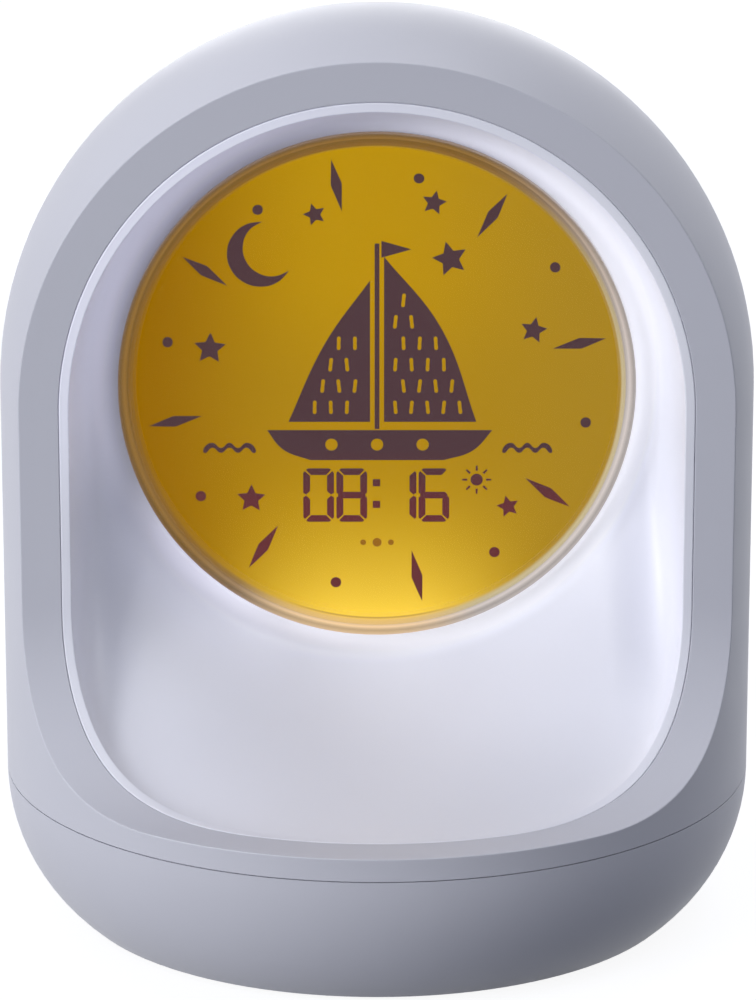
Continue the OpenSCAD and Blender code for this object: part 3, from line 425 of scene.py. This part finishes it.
def on_face(j, share):
    """Point of the face that lies share of the way from the body's edge to the niche's at station j."""
    if j <= ARCH_STEPS:
        return edge(j, BODY_R, 0).lerp(edge(j, NICHE_R, NICHE_BACK), share)
    turn = math.sin(math.pi / 2 * (j - ARCH_STEPS) / RUN_STEPS)
    s = turn * ((1 - share) * run_length(BODY_R, 0, 0) + share * run_length(NICHE_R, NICHE_BACK, 0))
    y, z = face_run(s, 0)
    x = (1 - share) * edge(j, BODY_R, 0).x + share * edge(j, NICHE_R, NICHE_BACK).x
    return Vector((x, y, z))


def rounded_corner(before, corner, after, setback, steps=4, flat=0.06):
    """Points that round a corner of a section, with a narrow flat before and after."""
    back, on = (before - corner).normalized(), (after - corner).normalized()
    first, last = corner + back * setback, corner + on * setback
    lead_in, lead_out = corner + back * (setback + flat), corner + on * (setback + flat)
    bend = [(1 - t) ** 2 * first + 2 * t * (1 - t) * corner + t ** 2 * last
            for t in (i / steps for i in range(steps + 1))]
    return [lead_in, *bend, lead_out]


def round_loft(name, section):
    """Closed ring lofted through the sections of every station, down one side and up the other."""
    right = [section(j) for j in range(STATIONS + 1)]
    left = [[Vector((-p.x, p.y, p.z)) for p in points] for points in right[-2:0:-1]]
    mesh = bmesh.new()
    loops = []
    for points in right + left:
        verts = [mesh.verts.new(p * MM) for p in points]
        loops.append([mesh.edges.new((verts[i - 1], verts[i])) for i in range(len(verts))])
    for i, loop in enumerate(loops):
        bmesh.ops.bridge_loops(mesh, edges=loops[i - 1] + loop)
    bmesh.ops.recalc_face_normals(mesh, faces=mesh.faces)
    return finished(name, mesh)


def finished(name, mesh, smooth=True):
    """An object at the origin from a bmesh."""
    data = bpy.data.meshes.new(name)
    mesh.to_mesh(data)
    mesh.free()
    for face in data.polygons:
        face.use_smooth = smooth
    piece = bpy.data.objects.new(name, data)
    bpy.context.collection.objects.link(piece)
    return piece


def dress(piece, material, node=None, body="housing"):
    """Gives a piece its material and the body it rides on, and hides the node it stands for."""
    piece.data.materials.clear()
    piece.data.materials.append(material)
    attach(piece, body)
    if node:
        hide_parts(node)
    return piece


# ---------------------------------------------------------------- case

# Thickness of the face's skin, which is a piece of its own, and how it meets the shell: it laps under the
# shell's cut edge by LAP, TUCK below the surface, after a run of RAMP to either side of the edge.
FACE_CUT, LAP, RAMP, TUCK = 1.0, 0.25, 0.1, 0.004
# Reach of the roundings on the face's outer and inner edge, and, as shares of the face's width, how far from
# its edge the point lies that a rounding heads for, and where the points between the roundings lie.
OUTER_ROUND, INNER_ROUND, BESIDE = 0.22, 0.25, 0.06
ACROSS = (0.12, 0.25, 0.4, 0.55, 0.7, 0.85)
# Points closer than this to each other, in millimetres, are made one.
WELD = 0.002


def ball_drum_normal(point):
    """Outward normal of the body's ball and drum at a point in millimetres."""
    return Vector((point.x, point.y, max(0.0, point.z - DOME_Z))).normalized()


def band_section(j):
    """Face band at station j: from behind the body's edge over the face and into the niche."""
    behind = edge(j, BODY_R, 0, FACE_CUT / 2)
    inside = edge(j, NICHE_R, NICHE_BACK, FACE_CUT / 2)
    outer = rounded_corner(behind, edge(j, BODY_R, 0), on_face(j, BESIDE), OUTER_ROUND)
    inner = rounded_corner(on_face(j, 1 - BESIDE), edge(j, NICHE_R, NICHE_BACK), inside, INNER_ROUND)
    lap = [edge(j, BODY_R - TUCK, 0, FACE_CUT + back) for back in (LAP, LAP - 0.01, RAMP)]
    ramp = edge(j, BODY_R, 0, FACE_CUT - RAMP)
    wall = [edge(j, NICHE_R, NICHE_BACK, depth) for depth in (0.75 * FACE_CUT, FACE_CUT + LAP)]
    middle = [on_face(j, share) for share in ACROSS]
    return [*lap, ramp, *outer, *middle, *inner, *wall]


def face_band():
    return dress(round_loft("face_band", band_section), shell_plastic)


def face_cutter():
    """Everything ahead of the face set back by FACE_CUT, as a block whose back is the face's section."""
    mesh = bmesh.new()
    steps, past = 48, BODY_R + 5
    last = UPRIGHT + (FACE_SWEEP + FACE_CUT) * math.pi / 2
    profile = [(FACE_CUT - FACE_Y, DOME_Z + past)]
    profile += [face_run(UPRIGHT + (last - UPRIGHT) * i / steps, FACE_CUT) for i in range(steps + 1)]
    profile += [(-past, LEDGE_Z - FACE_CUT), (-past, DOME_Z + past)]
    side = mesh.faces.new([mesh.verts.new(Vector((-past, y, z)) * MM) for y, z in profile])
    spread = bmesh.ops.extrude_face_region(mesh, geom=[side])
    moved = [v for v in spread["geom"] if isinstance(v, bmesh.types.BMVert)]
    bmesh.ops.translate(mesh, verts=moved, vec=(2 * past * MM, 0, 0))
    bmesh.ops.recalc_face_normals(mesh, faces=mesh.faces)
    return finished("face_cutter", mesh, smooth=False)


def shell_body():
    """The moulded shell without its face's skin, with the normals of its true ball and drum."""
    mesh = bmesh.new()
    mesh.from_mesh(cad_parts["outer_shell"].data)
    bmesh.ops.remove_doubles(mesh, verts=mesh.verts, dist=WELD * MM)
    shell = finished("shell_body", mesh)
    cutter = face_cutter()
    cut = shell.modifiers.new("face", "BOOLEAN")
    cut.object, cut.operation, cut.solver = cutter, "DIFFERENCE", "EXACT"
    depsgraph = bpy.context.evaluated_depsgraph_get()
    data = bpy.data.meshes.new_from_object(shell.evaluated_get(depsgraph))
    shell.modifiers.clear()
    shell.data = data
    bpy.data.objects.remove(cutter)
    true_normals(data)
    return dress(shell, shell_plastic, "outer_shell")


def true_normals(data, near=0.02, level=0.9):
    """Gives faces that lie near and level with the body's skins the normals of its ball and drum."""
    normals = [None] * len(data.loops)
    places = [v.co / MM for v in data.vertices]
    reach = [math.hypot(p.x, p.y, max(0.0, p.z - DOME_Z)) for p in places]
    for face in data.polygons:
        face.use_smooth = True
        for loop in face.loop_indices:
            normals[loop] = face.normal.copy()
        for skin, turn in ((BODY_R, 1), (BODY_R - SHELL_WALL, -1)):
            on_skin = all(abs(reach[v] - skin) < near for v in face.vertices)
            if on_skin and turn * ball_drum_normal(face.center / MM).dot(face.normal) > level:
                for loop in face.loop_indices:
                    normals[loop] = turn * ball_drum_normal(places[data.loops[loop].vertex_index])
    data.normals_split_custom_set(normals)


# ---------------------------------------------------------------- niche

COVE_STEPS, SKIN_STEPS = 36, 12
# Exponents of the section at the walls and at the floor, the angles below the dial's centre between which the
# walls turn into the floor, and by how much the ring's points keep above their lip there, in degrees.
WALL_POWER, FLOOR_POWER = 2.3, 1.45
CORNER_FROM, CORNER_TO, CORNER_TWIST = 32, 56, 26
# Width of the back ring outside the lens, its play round the sleeve and a point of it beside the lens.
RING_W, RING_PLAY, BESIDE_LENS = 1, 0.05, 0.4
# The lip's depth, how far its skin lies in from its rim, and the reach of the roundings on its two edges.
LIP_DEPTH, LIP_SKIN, LIP_ROUND, RIM_ROUND = 3, 0.6, 0.3, 0.2


def down_angle(lip):
    """Degrees by which a point of the lip lies below the dial's centre."""
    return max(0.0, math.degrees(math.atan2(DOME_Z - lip.z, lip.x)))


def ring_point(lip, r, y):
    """Point on a ring of radius r round the dial for a point of the lip, a little higher at the corners."""
    turn = math.atan2(lip.z - DOME_Z, lip.x)
    if turn < 0:
        turn += math.radians(CORNER_TWIST) * math.sin(-2 * turn)
    return Vector((r * math.cos(turn), y, DOME_Z + r * math.sin(turn)))


def section_power(lip):
    """Exponent of the section: rather square at the steep walls, and flatter at the floor, a ramp."""
    share = min(1.0, max(0.0, (down_angle(lip) - CORNER_FROM) / (CORNER_TO - CORNER_FROM)))
    return WALL_POWER + (FLOOR_POWER - WALL_POWER) * share * share * (3 - 2 * share)


def cove_point(ring, lip, turn, power):
    """Point of the section that leaves the ring outwards and reaches the lip forwards."""
    out, on = math.sin(turn) ** (2 / power), 1 - math.cos(turn) ** (2 / power)
    return Vector((ring.x + (lip.x - ring.x) * out, ring.y + (lip.y - ring.y) * on,
                   ring.z + (lip.z - ring.z) * out))


def liner_section(j):
    """White liner at station j: back ring, cove, lip, and its skin on the far side."""
    lip = edge(j, COVE_R, NICHE_BACK)
    rim = edge(j, LIP_R, NICHE_BACK)
    heel = edge(j, LIP_R - LIP_SKIN, NICHE_BACK, LIP_DEPTH)
    foot = ring_point(lip, LENS_R + RING_W, -BACK_Y)
    sole = ring_point(lip, LENS_R + RING_W + LINER_T / 3, LINER_T - BACK_Y)
    power = section_power(lip)
    quarter = math.pi / 2
    cove = [cove_point(foot, lip, quarter * i / COVE_STEPS, power) for i in range(COVE_STEPS)]
    skin = [cove_point(sole, heel, quarter * i / SKIN_STEPS, power) for i in reversed(range(SKIN_STEPS))]
    near = cove_point(foot, lip, quarter * (COVE_STEPS - 0.5) / COVE_STEPS, power)
    return [
        ring_point(lip, VIEW_R + RING_PLAY, -BACK_Y), ring_point(lip, LENS_R + BESIDE_LENS, -BACK_Y), *cove,
        *rounded_corner(near, lip, rim, LIP_ROUND), *rounded_corner(lip, rim, heel, RIM_ROUND), heel, *skin,
        ring_point(lip, VIEW_R + RING_PLAY, LINER_T - BACK_Y)]


def niche_cove():
    return dress(round_loft("niche_cove", liner_section), liner_painted_glow, "niche_liner")


# ---------------------------------------------------------------- display

# The gap between the bezel and the lens, the gap behind the lens's foot, the radius of a line on the lens's
# flat faces that keeps their shading level, and the bezel's outer radius.
BEZEL_GAP, FOOT_GAP, FLAT_R = 0.05, 0.03, 40
BEZEL_R = LENS_R - 0.4


def turned(name, profile, steps=192, closed=False):
    """Shape turned about the dial's axis from (radius, y) points that close or that end on the axis."""
    mesh = bmesh.new()
    verts = [mesh.verts.new(Vector((r, y, 0)) * MM) for r, y in profile]
    pairs = list(zip(verts, verts[1:])) + ([(verts[-1], verts[0])] if closed else [])
    edges = [mesh.edges.new(pair) for pair in pairs]
    bmesh.ops.spin(mesh, geom=verts + edges, cent=(0, 0, 0), axis=(0, 1, 0), angle=2 * math.pi, steps=steps,
                   use_merge=True)
    bmesh.ops.remove_doubles(mesh, verts=mesh.verts, dist=WELD * MM)
    bmesh.ops.translate(mesh, verts=mesh.verts, vec=DIAL)
    bmesh.ops.recalc_face_normals(mesh, faces=mesh.faces)
    return finished(name, mesh)


def dial_lens():
    """Clear lens: a front edge with a round shoulder, and a hollow back that sits over the bezel."""
    back, foot = -BACK_Y - BEZEL_T - BEZEL_GAP, -BACK_Y - FOOT_GAP
    front, shoulder = -BACK_Y - LENS_T, 2.0
    wall, bevel = BEZEL_R + BEZEL_GAP, 0.05
    bend = [(LENS_R - shoulder + shoulder * math.cos(t), front + shoulder - shoulder * math.sin(t))
            for t in (math.pi / 2 * i / 10 for i in range(11))]
    rebate = [(wall - bevel, back), (wall, back + bevel), (wall, foot - bevel), (wall + bevel, foot),
              (LENS_R - bevel, foot), (LENS_R, foot - bevel), (LENS_R, foot - 0.3)]
    flat = LENS_R - shoulder - 0.1
    profile = [(0, back), (FLAT_R, back), *rebate, *bend, (flat, front), (FLAT_R, front), (0, front)]
    return dress(turned("dial_lens", profile), lens_clear, "display_lens")


def dial_bezel():
    """Ring in the lens's hollow: an inner bead, a groove, a broad band, and a stepped sleeve to the panel."""
    back, top, groove, foot = -BACK_Y - 0.01, -BACK_Y - BEZEL_T - 0.03, 0.4, PANEL_Y - 0.06
    step, step_y = VIEW_R - 0.4, PANEL_Y - SEAL_T - 0.13
    wall, bevel = 0.04, 0.06
    profile = [
        (VIEW_R + wall, step_y + 0.1), (step + wall, step_y + 0.1), (step + wall, foot), (step, foot),
        (step, step_y), (VIEW_R, step_y), (VIEW_R, top + bevel), (VIEW_R + bevel, top), (VIEW_R + 0.4, top),
        (VIEW_R + 0.5, top + groove), (VIEW_R + 0.65, top + groove), (VIEW_R + 0.75, top),
        (BEZEL_R - bevel, top), (BEZEL_R, top + bevel), (BEZEL_R, back), (VIEW_R + wall, back)]
    return dress(turned("dial_bezel", profile, closed=True), bezel_painted_light)


# ---------------------------------------------------------------- the display's picture

PICTURE_Y, PICTURE_T = PANEL_Y - 0.03, 0.03


def picture(name, outlines, material=None):
    """Flat piece on the display's face from closed outlines of (right, up, bend) points, with their holes."""
    curve = bpy.data.curves.new(name, "CURVE")
    curve.dimensions, curve.fill_mode = "2D", "BOTH"
    curve.extrude, curve.resolution_u = PICTURE_T / 2, 8
    for outline in outlines:
        spline = curve.splines.new("BEZIER")
        spline.use_cyclic_u = True
        spline.bezier_points.add(len(outline) - 1)
        for point, (right, up, bend) in zip(spline.bezier_points, outline):
            point.co = (right, up, 0)
            point.handle_left_type = point.handle_right_type = "AUTO" if bend else "VECTOR"
    drawn = bpy.data.objects.new(name, curve)
    bpy.context.collection.objects.link(drawn)
    data = bpy.data.meshes.new_from_object(drawn.evaluated_get(bpy.context.evaluated_depsgraph_get()))
    bpy.data.objects.remove(drawn)
    mesh = bmesh.new()
    mesh.from_mesh(data)
    bmesh.ops.remove_doubles(mesh, verts=mesh.verts, dist=0.001)
    bmesh.ops.transform(mesh, verts=mesh.verts, matrix=Matrix.Rotation(math.pi / 2, 4, "X"))
    bmesh.ops.translate(mesh, verts=mesh.verts, vec=(0, PICTURE_Y, DOME_Z))
    bmesh.ops.scale(mesh, verts=mesh.verts, vec=(MM, MM, MM))
    bmesh.ops.recalc_face_normals(mesh, faces=mesh.faces)
    return dress(finished(name, mesh, smooth=False), material or picture_dark)


def bent(*points):
    return [(right, up, True) for right, up in points]


def straight(*points):
    return [(right, up, False) for right, up in points]


def disc(right, up, r):
    return bent((right + r, up), (right, up + r), (right - r, up), (right, up - r))


def turned_points(outline, angle, right, up):
    """An outline turned by angle and then moved."""
    c, s = math.cos(angle), math.sin(angle)
    return [(right + x * c - y * s, up + x * s + y * c, bend) for x, y, bend in outline]


def star(right, up, r, turn):
    """Five-pointed star, whose inner corners lie at 0.48 of its radius."""
    reach = [r * (1, 0.48)[i % 2] for i in range(10)]
    tips = [(s * math.sin(math.pi / 5 * i), s * math.cos(math.pi / 5 * i)) for i, s in enumerate(reach)]
    return turned_points(straight(*tips), turn, right, up)


def dashes(places, length=2.6, width=0.62):
    """Short upright strokes, each leaning a little its own way."""
    stroke = [(-width / 2, 0, True), (0, length / 2, True), (width / 2, 0, True), (0, -length / 2, True)]
    return [turned_points(stroke, 0.12 * math.sin(3.1 * right + 1.7 * up), right, up) for right, up in places]


def inside(u, v, corners, margin=1.9):
    """Whether a point lies inside a convex anticlockwise outline by more than the margin."""
    for (ax, ay, _), (bx, by, _) in zip(corners, corners[1:] + corners[:1]):
        if (bx - ax) * (v - ay) - (by - ay) * (u - ax) < margin * math.hypot(bx - ax, by - ay):
            return False
    return True


def stitched(outline):
    """A sail's outline and the short strokes left out of it, in rows that are shifted by turns."""
    pitch, row, first = 3.0, 4.1, (0.4, -4.8)
    places = [(first[0] + pitch * (i + 0.5 * (j % 2)), first[1] + row * j)
              for i in range(-8, 8) for j in range(9)]
    return [outline, *dashes([place for place in places if inside(*place, outline)])]


def sailing_boat():
    main = [(1.3, -7.6, False), (18.5, -7.6, False), (11.9, 10.4, True), (1.3, 24.0, False)]
    jib = [(-16.5, -7.6, False), (-1.3, -7.6, False), (-1.3, 19.5, False), (-9.7, 7.4, True)]
    picture("boat_main_sail", stitched(main))
    picture("boat_jib", stitched(jib))
    picture("boat_mast", [straight((-0.45, -9), (0.45, -9), (0.45, 26.5), (-0.45, 26.5))])
    picture("boat_pennant", [straight((0.8, 27.0), (0.8, 23.8), (6.4, 25.4))])
    picture("boat_hull", [
        [(-20.5, -9.2, False), (21.5, -9.2, False), (17.8, -13.2, True), (12.5, -15.0, False),
         (-12.5, -15.0, False), (-17.6, -12.9, True)],
        disc(-8.5, -12.0, 1.15), disc(0, -12.0, 1.15), disc(8.5, -12.0, 1.15)])


def wave(name, right, up, width):
    """Three crests side by side."""
    step = width / 6
    over = [(right + step * (i - 3), up + (0.75 if i % 2 else -0.25)) for i in range(7)]
    under = [(u, v - 0.95) for u, v in reversed(over)]
    picture(name, [bent(*over, *under)])


def arc(centre, r, start, sweep, steps):
    """Points of an arc round a centre on the level axis."""
    turns = [start + sweep * i / steps for i in range(steps + 1)]
    return [(centre + r * math.cos(a), r * math.sin(a)) for a in turns]


def moon():
    """Crescent: an outer arc from tip to tip, and back along an inner one."""
    r, bite = 6.2, 5.3
    start = math.radians(58)
    outer = arc(0, r, start, 2 * (math.pi - start), 8)
    tip = Vector(outer[0])
    centre = tip.x + math.sqrt(bite ** 2 - tip.y ** 2) - 1.6
    reach = math.atan2(tip.y, tip.x - centre)
    inner = arc(centre, math.hypot(tip.x - centre, tip.y), -reach, -2 * (math.pi - reach), 6)[1:-1]
    crescent = [(u, v, 0 < i < 8) for i, (u, v) in enumerate(outer)] + [(u, v, True) for u, v in inner]
    picture("moon", [turned_points(crescent, math.radians(28), -21.5, 24.5)])


def ring_of_diamonds(count=16, dots_r=39.6, diamonds_r=38.4):
    """Long diamonds and small dots that take turns round the picture."""
    for i in range(count):
        angle = 2 * math.pi * (i + 0.5) / count
        shape, r = straight((-5.2, 0), (0, 1.05), (5.2, 0), (0, -1.05)), diamonds_r
        if i % 2:
            shape, r = disc(0, 0, 1.0), dots_r
        picture(f"dial_mark_{i}", [turned_points(shape, angle, r * math.cos(angle), r * math.sin(angle))])


# Size of a digit and of its segments, the height of the digits' top, and the segments that a figure lights.
DIGIT_W, DIGIT_H, SEGMENT_T, SEGMENT_GAP = 5.75, 10.4, 1.3, 0.15
DIGITS_TOP = -16.6
FIGURES = {"0": "abcdef", "1": "bc", "6": "acdefg", "8": "abcdefg"}
# The time's figures with the places of their left edges, and the heights of the colon's squares.
TIME = (("0", -13.8), ("8", -7.6), ("1", 1.6), ("6", 7.75))
COLON = (("colon_upper", -19.4), ("colon_lower", -23.6))


def outer_segment(length, first_corner, last_corner):
    """Segment along x with its outer side at y = 0: mitred at a digit's corner, pointed at its waist."""
    cut, gap, t = 0.75, SEGMENT_GAP, SEGMENT_T

    def end(corner):
        if corner:
            return [(cut + gap, 0), ((cut + gap) / 2 + gap / 2, (cut - gap) / 2), (t + gap, t)]
        return [(0.45, 0), (gap * 0.6, t * 0.42), (t / 2 + gap, t)]

    near = end(first_corner)
    far = [(length - x, y) for x, y in end(last_corner)]
    return [(x, -y) for x, y in near + far[::-1]]


def digit_segment(letter, left):
    """Outline of a segment: a on top, b and c at the right, d below, e and f at the left, g across."""
    half, t = DIGIT_H / 2, SEGMENT_T
    if letter == "g":
        inset, gap = t / 2, SEGMENT_GAP
        points = [(gap + 0.1, 0), (inset + gap, inset), (DIGIT_W - inset - gap, inset),
                  (DIGIT_W - gap - 0.1, 0), (DIGIT_W - inset - gap, -inset), (inset + gap, -inset)]
        points = [(x, y - half) for x, y in points]
    elif letter in "ad":
        points = outer_segment(DIGIT_W, True, True)
        points = points if letter == "a" else [(x, -DIGIT_H - y) for x, y in points]
    else:
        points = [(-y, -x) for x, y in outer_segment(half, True, False)]
        if letter in "ec":
            points = [(x, -DIGIT_H - y) for x, y in points]
        if letter in "bc":
            points = [(DIGIT_W - x, y) for x, y in points]
    return straight(*[(left + x, DIGITS_TOP + y) for x, y in points])


def time_digits():
    for place, (figure, left) in enumerate(TIME):
        for letter in FIGURES[figure]:
            picture(f"digit_{place}_{letter}", [digit_segment(letter, left)])
    for name, up in COLON:
        picture(name, [straight((-0.8, up - 0.7), (0.6, up - 0.7), (0.6, up + 0.7), (-0.8, up + 0.7))])


def small_sun(right, up):
    """Day sign beside the digits: a disc with eight rays."""
    picture("day_sign", [disc(right, up, 1.15)])
    for i in range(8):
        angle = math.pi / 4 * i
        ray = straight((1.75, -0.22), (2.75, -0.16), (2.75, 0.16), (1.75, 0.22))
        picture(f"day_ray_{i}", [turned_points(ray, angle, right, up)])


# Each star's place to the right and up, and its radius.
STARS = (
    (13.5, 23.6, 3.4), (-31.0, 6.5, 3.1), (29.0, 10.0, 2.6), (-11.5, 32.0, 2.2), (10.5, 34.2, 2.4),
    (-23.5, -22.5, 2.8), (24.5, -24.0, 2.2))


def display_picture():
    sailing_boat()
    wave("wave_left", -27.5, -12.4, 9.5)
    wave("wave_right", 28.0, -12.4, 9.0)
    moon()
    for i, (right, up, r) in enumerate(STARS):
        picture(f"star_{i}", [star(right, up, r, 0.3 * math.sin(2.3 * i + 1))])
    ring_of_diamonds()
    time_digits()
    small_sun(18.6, -18.8)
    picture("night_sign", [disc(-2.6, -31.0, 0.55), disc(0, -31.0, 0.85), disc(2.6, -31.0, 0.55)],
            picture_faint)


shell_body()
face_band()
niche_cove()
dial_lens()
dial_bezel()
display_picture()


# ---------------------------------------------------------------- studio

def look_at(obj, target):
    obj.rotation_mode = "QUATERNION"
    obj.rotation_quaternion = (Vector(target) - obj.location).to_track_quat("-Z", "Y")


def lamp(name, place, size, energy):
    """A square soft box that faces the middle of the body."""
    light = bpy.data.lights.new(name, "AREA")
    light.shape, light.size, light.energy = "SQUARE", size, energy
    box = bpy.data.objects.new(name, light)
    bpy.context.collection.objects.link(box)
    box.location = place
    look_at(box, LAMPS_AIM)


# Strength and tint of the air's light, and the floor paper's colour and the light it adds where it is seen.
AIR, AIR_TONE = 0.15, (0.84, 0.93, 1.16, 1)
PAPER, PAPER_GLOW = (0.17, 0.18, 0.21, 1), 0.91
WHITE = (1, 1, 1, 1)


def for_camera(tree, shown, hidden):
    """Shown to the camera, in reflections and through clear pieces; hidden is what lights the rest."""
    path = tree.nodes.new("ShaderNodeLightPath")
    share = path.outputs["Is Camera Ray"]
    for ray in ("Is Transmission Ray", "Is Glossy Ray"):
        both = tree.nodes.new("ShaderNodeMath")
        both.operation, both.use_clamp = "ADD", True
        tree.links.new(share, both.inputs[0])
        tree.links.new(path.outputs[ray], both.inputs[1])
        share = both.outputs[0]
    mix = tree.nodes.new("ShaderNodeMixShader")
    for socket, source in zip(mix.inputs, (share, hidden, shown)):
        tree.links.new(source, socket)
    return mix.outputs[0]


def plain(tree, kind, tone, strength=None):
    """Output of a plain shader of one colour."""
    shader = tree.nodes.new(kind)
    shader.inputs["Color"].default_value = tone
    if strength is not None:
        shader.inputs["Strength"].default_value = strength
    return shader.outputs[0]


def studio_floor(size=6, below=0.02):
    """White paper, size metres to every side, a hair below the feet."""
    mesh = bmesh.new()
    bmesh.ops.create_grid(mesh, x_segments=1, y_segments=1, size=size)
    bmesh.ops.translate(mesh, verts=mesh.verts, vec=(0, 0, -below * MM))
    data = bpy.data.meshes.new("studio_floor")
    mesh.to_mesh(data)
    floor = bpy.data.objects.new("studio_floor", data)
    bpy.context.collection.objects.link(floor)
    material = bpy.data.materials.new("floor_paper")
    material.use_nodes = True
    tree = material.node_tree
    tree.nodes.clear()
    paper = plain(tree, "ShaderNodeBsdfDiffuse", PAPER)
    lit = tree.nodes.new("ShaderNodeAddShader")
    tree.links.new(paper, lit.inputs[0])
    tree.links.new(plain(tree, "ShaderNodeEmission", WHITE, PAPER_GLOW), lit.inputs[1])
    end = tree.nodes.new("ShaderNodeOutputMaterial")
    tree.links.new(for_camera(tree, lit.outputs[0], paper), end.inputs[0])
    data.materials.append(material)


def studio_air():
    """White where it is seen, and a soft bluish light elsewhere."""
    world = bpy.data.worlds.new("studio_air")
    bpy.context.scene.world = world
    world.use_nodes = True
    tree = world.node_tree
    tree.nodes.clear()
    soft = plain(tree, "ShaderNodeBackground", AIR_TONE, AIR)
    white = plain(tree, "ShaderNodeBackground", WHITE, 1.0)
    end = tree.nodes.new("ShaderNodeOutputWorld")
    tree.links.new(for_camera(tree, white, soft), end.inputs[0])


# Each lamp's name, place, width in metres and power in watts, and the place that all of them face.
LAMPS_AIM = (0, 0, 0.09)
LAMPS = (
    ("left", (-1.6, -0.9, 0.62), 0.9, 15.3),
    ("left_low", (-1.4, -1.4, 0.37), 0.8, 11.7),
    ("left_front", (-0.85, -1.38, 1.24), 0.8, 3.2),
    ("top_left", (-0.81, 0.47, 1.86), 0.8, 4.8),
    ("top_front", (0.81, -0.47, 1.86), 0.8, 6.6),
    ("top_back", (0.45, 0.75, 1.86), 0.8, 6.0),
    ("right_high", (1.1, -0.5, 1.5), 0.8, 1.8),
    ("right_back", (1.55, 0.85, 0.8), 0.9, 2.4),
    ("back", (0, 2.0, 0.3), 1.0, 8),
)

# The camera is a metre from the dial's centre. Its focal length, and how far the dial's centre lies from the
# middle of the picture, are in pixels of a picture 1000 high.
CAMERA_ABOVE = math.radians(15)
PIXELS_HIGH, FOCUS_PX = 1000, 5370
DIAL_RIGHT_PX, DIAL_UP_PX = -1, 121.07


def studio_camera():
    data = bpy.data.cameras.new("camera")
    data.lens = data.sensor_width * FOCUS_PX / PIXELS_HIGH
    data.clip_start, data.clip_end = 0.05, 20
    camera = bpy.data.objects.new("camera", data)
    bpy.context.collection.objects.link(camera)
    camera.location = DIAL + Vector((0, -math.cos(CAMERA_ABOVE), math.sin(CAMERA_ABOVE)))
    camera.rotation_mode = "XYZ"
    camera.rotation_euler = (
        math.pi / 2 - CAMERA_ABOVE - math.atan(DIAL_UP_PX / FOCUS_PX), 0, math.atan(DIAL_RIGHT_PX / FOCUS_PX))
    bpy.context.scene.camera = camera


studio_floor()
studio_air()
for name, place, size, energy in LAMPS:
    lamp(name, place, size, energy)
studio_camera()
bpy.context.scene.view_settings.view_transform = "Standard"
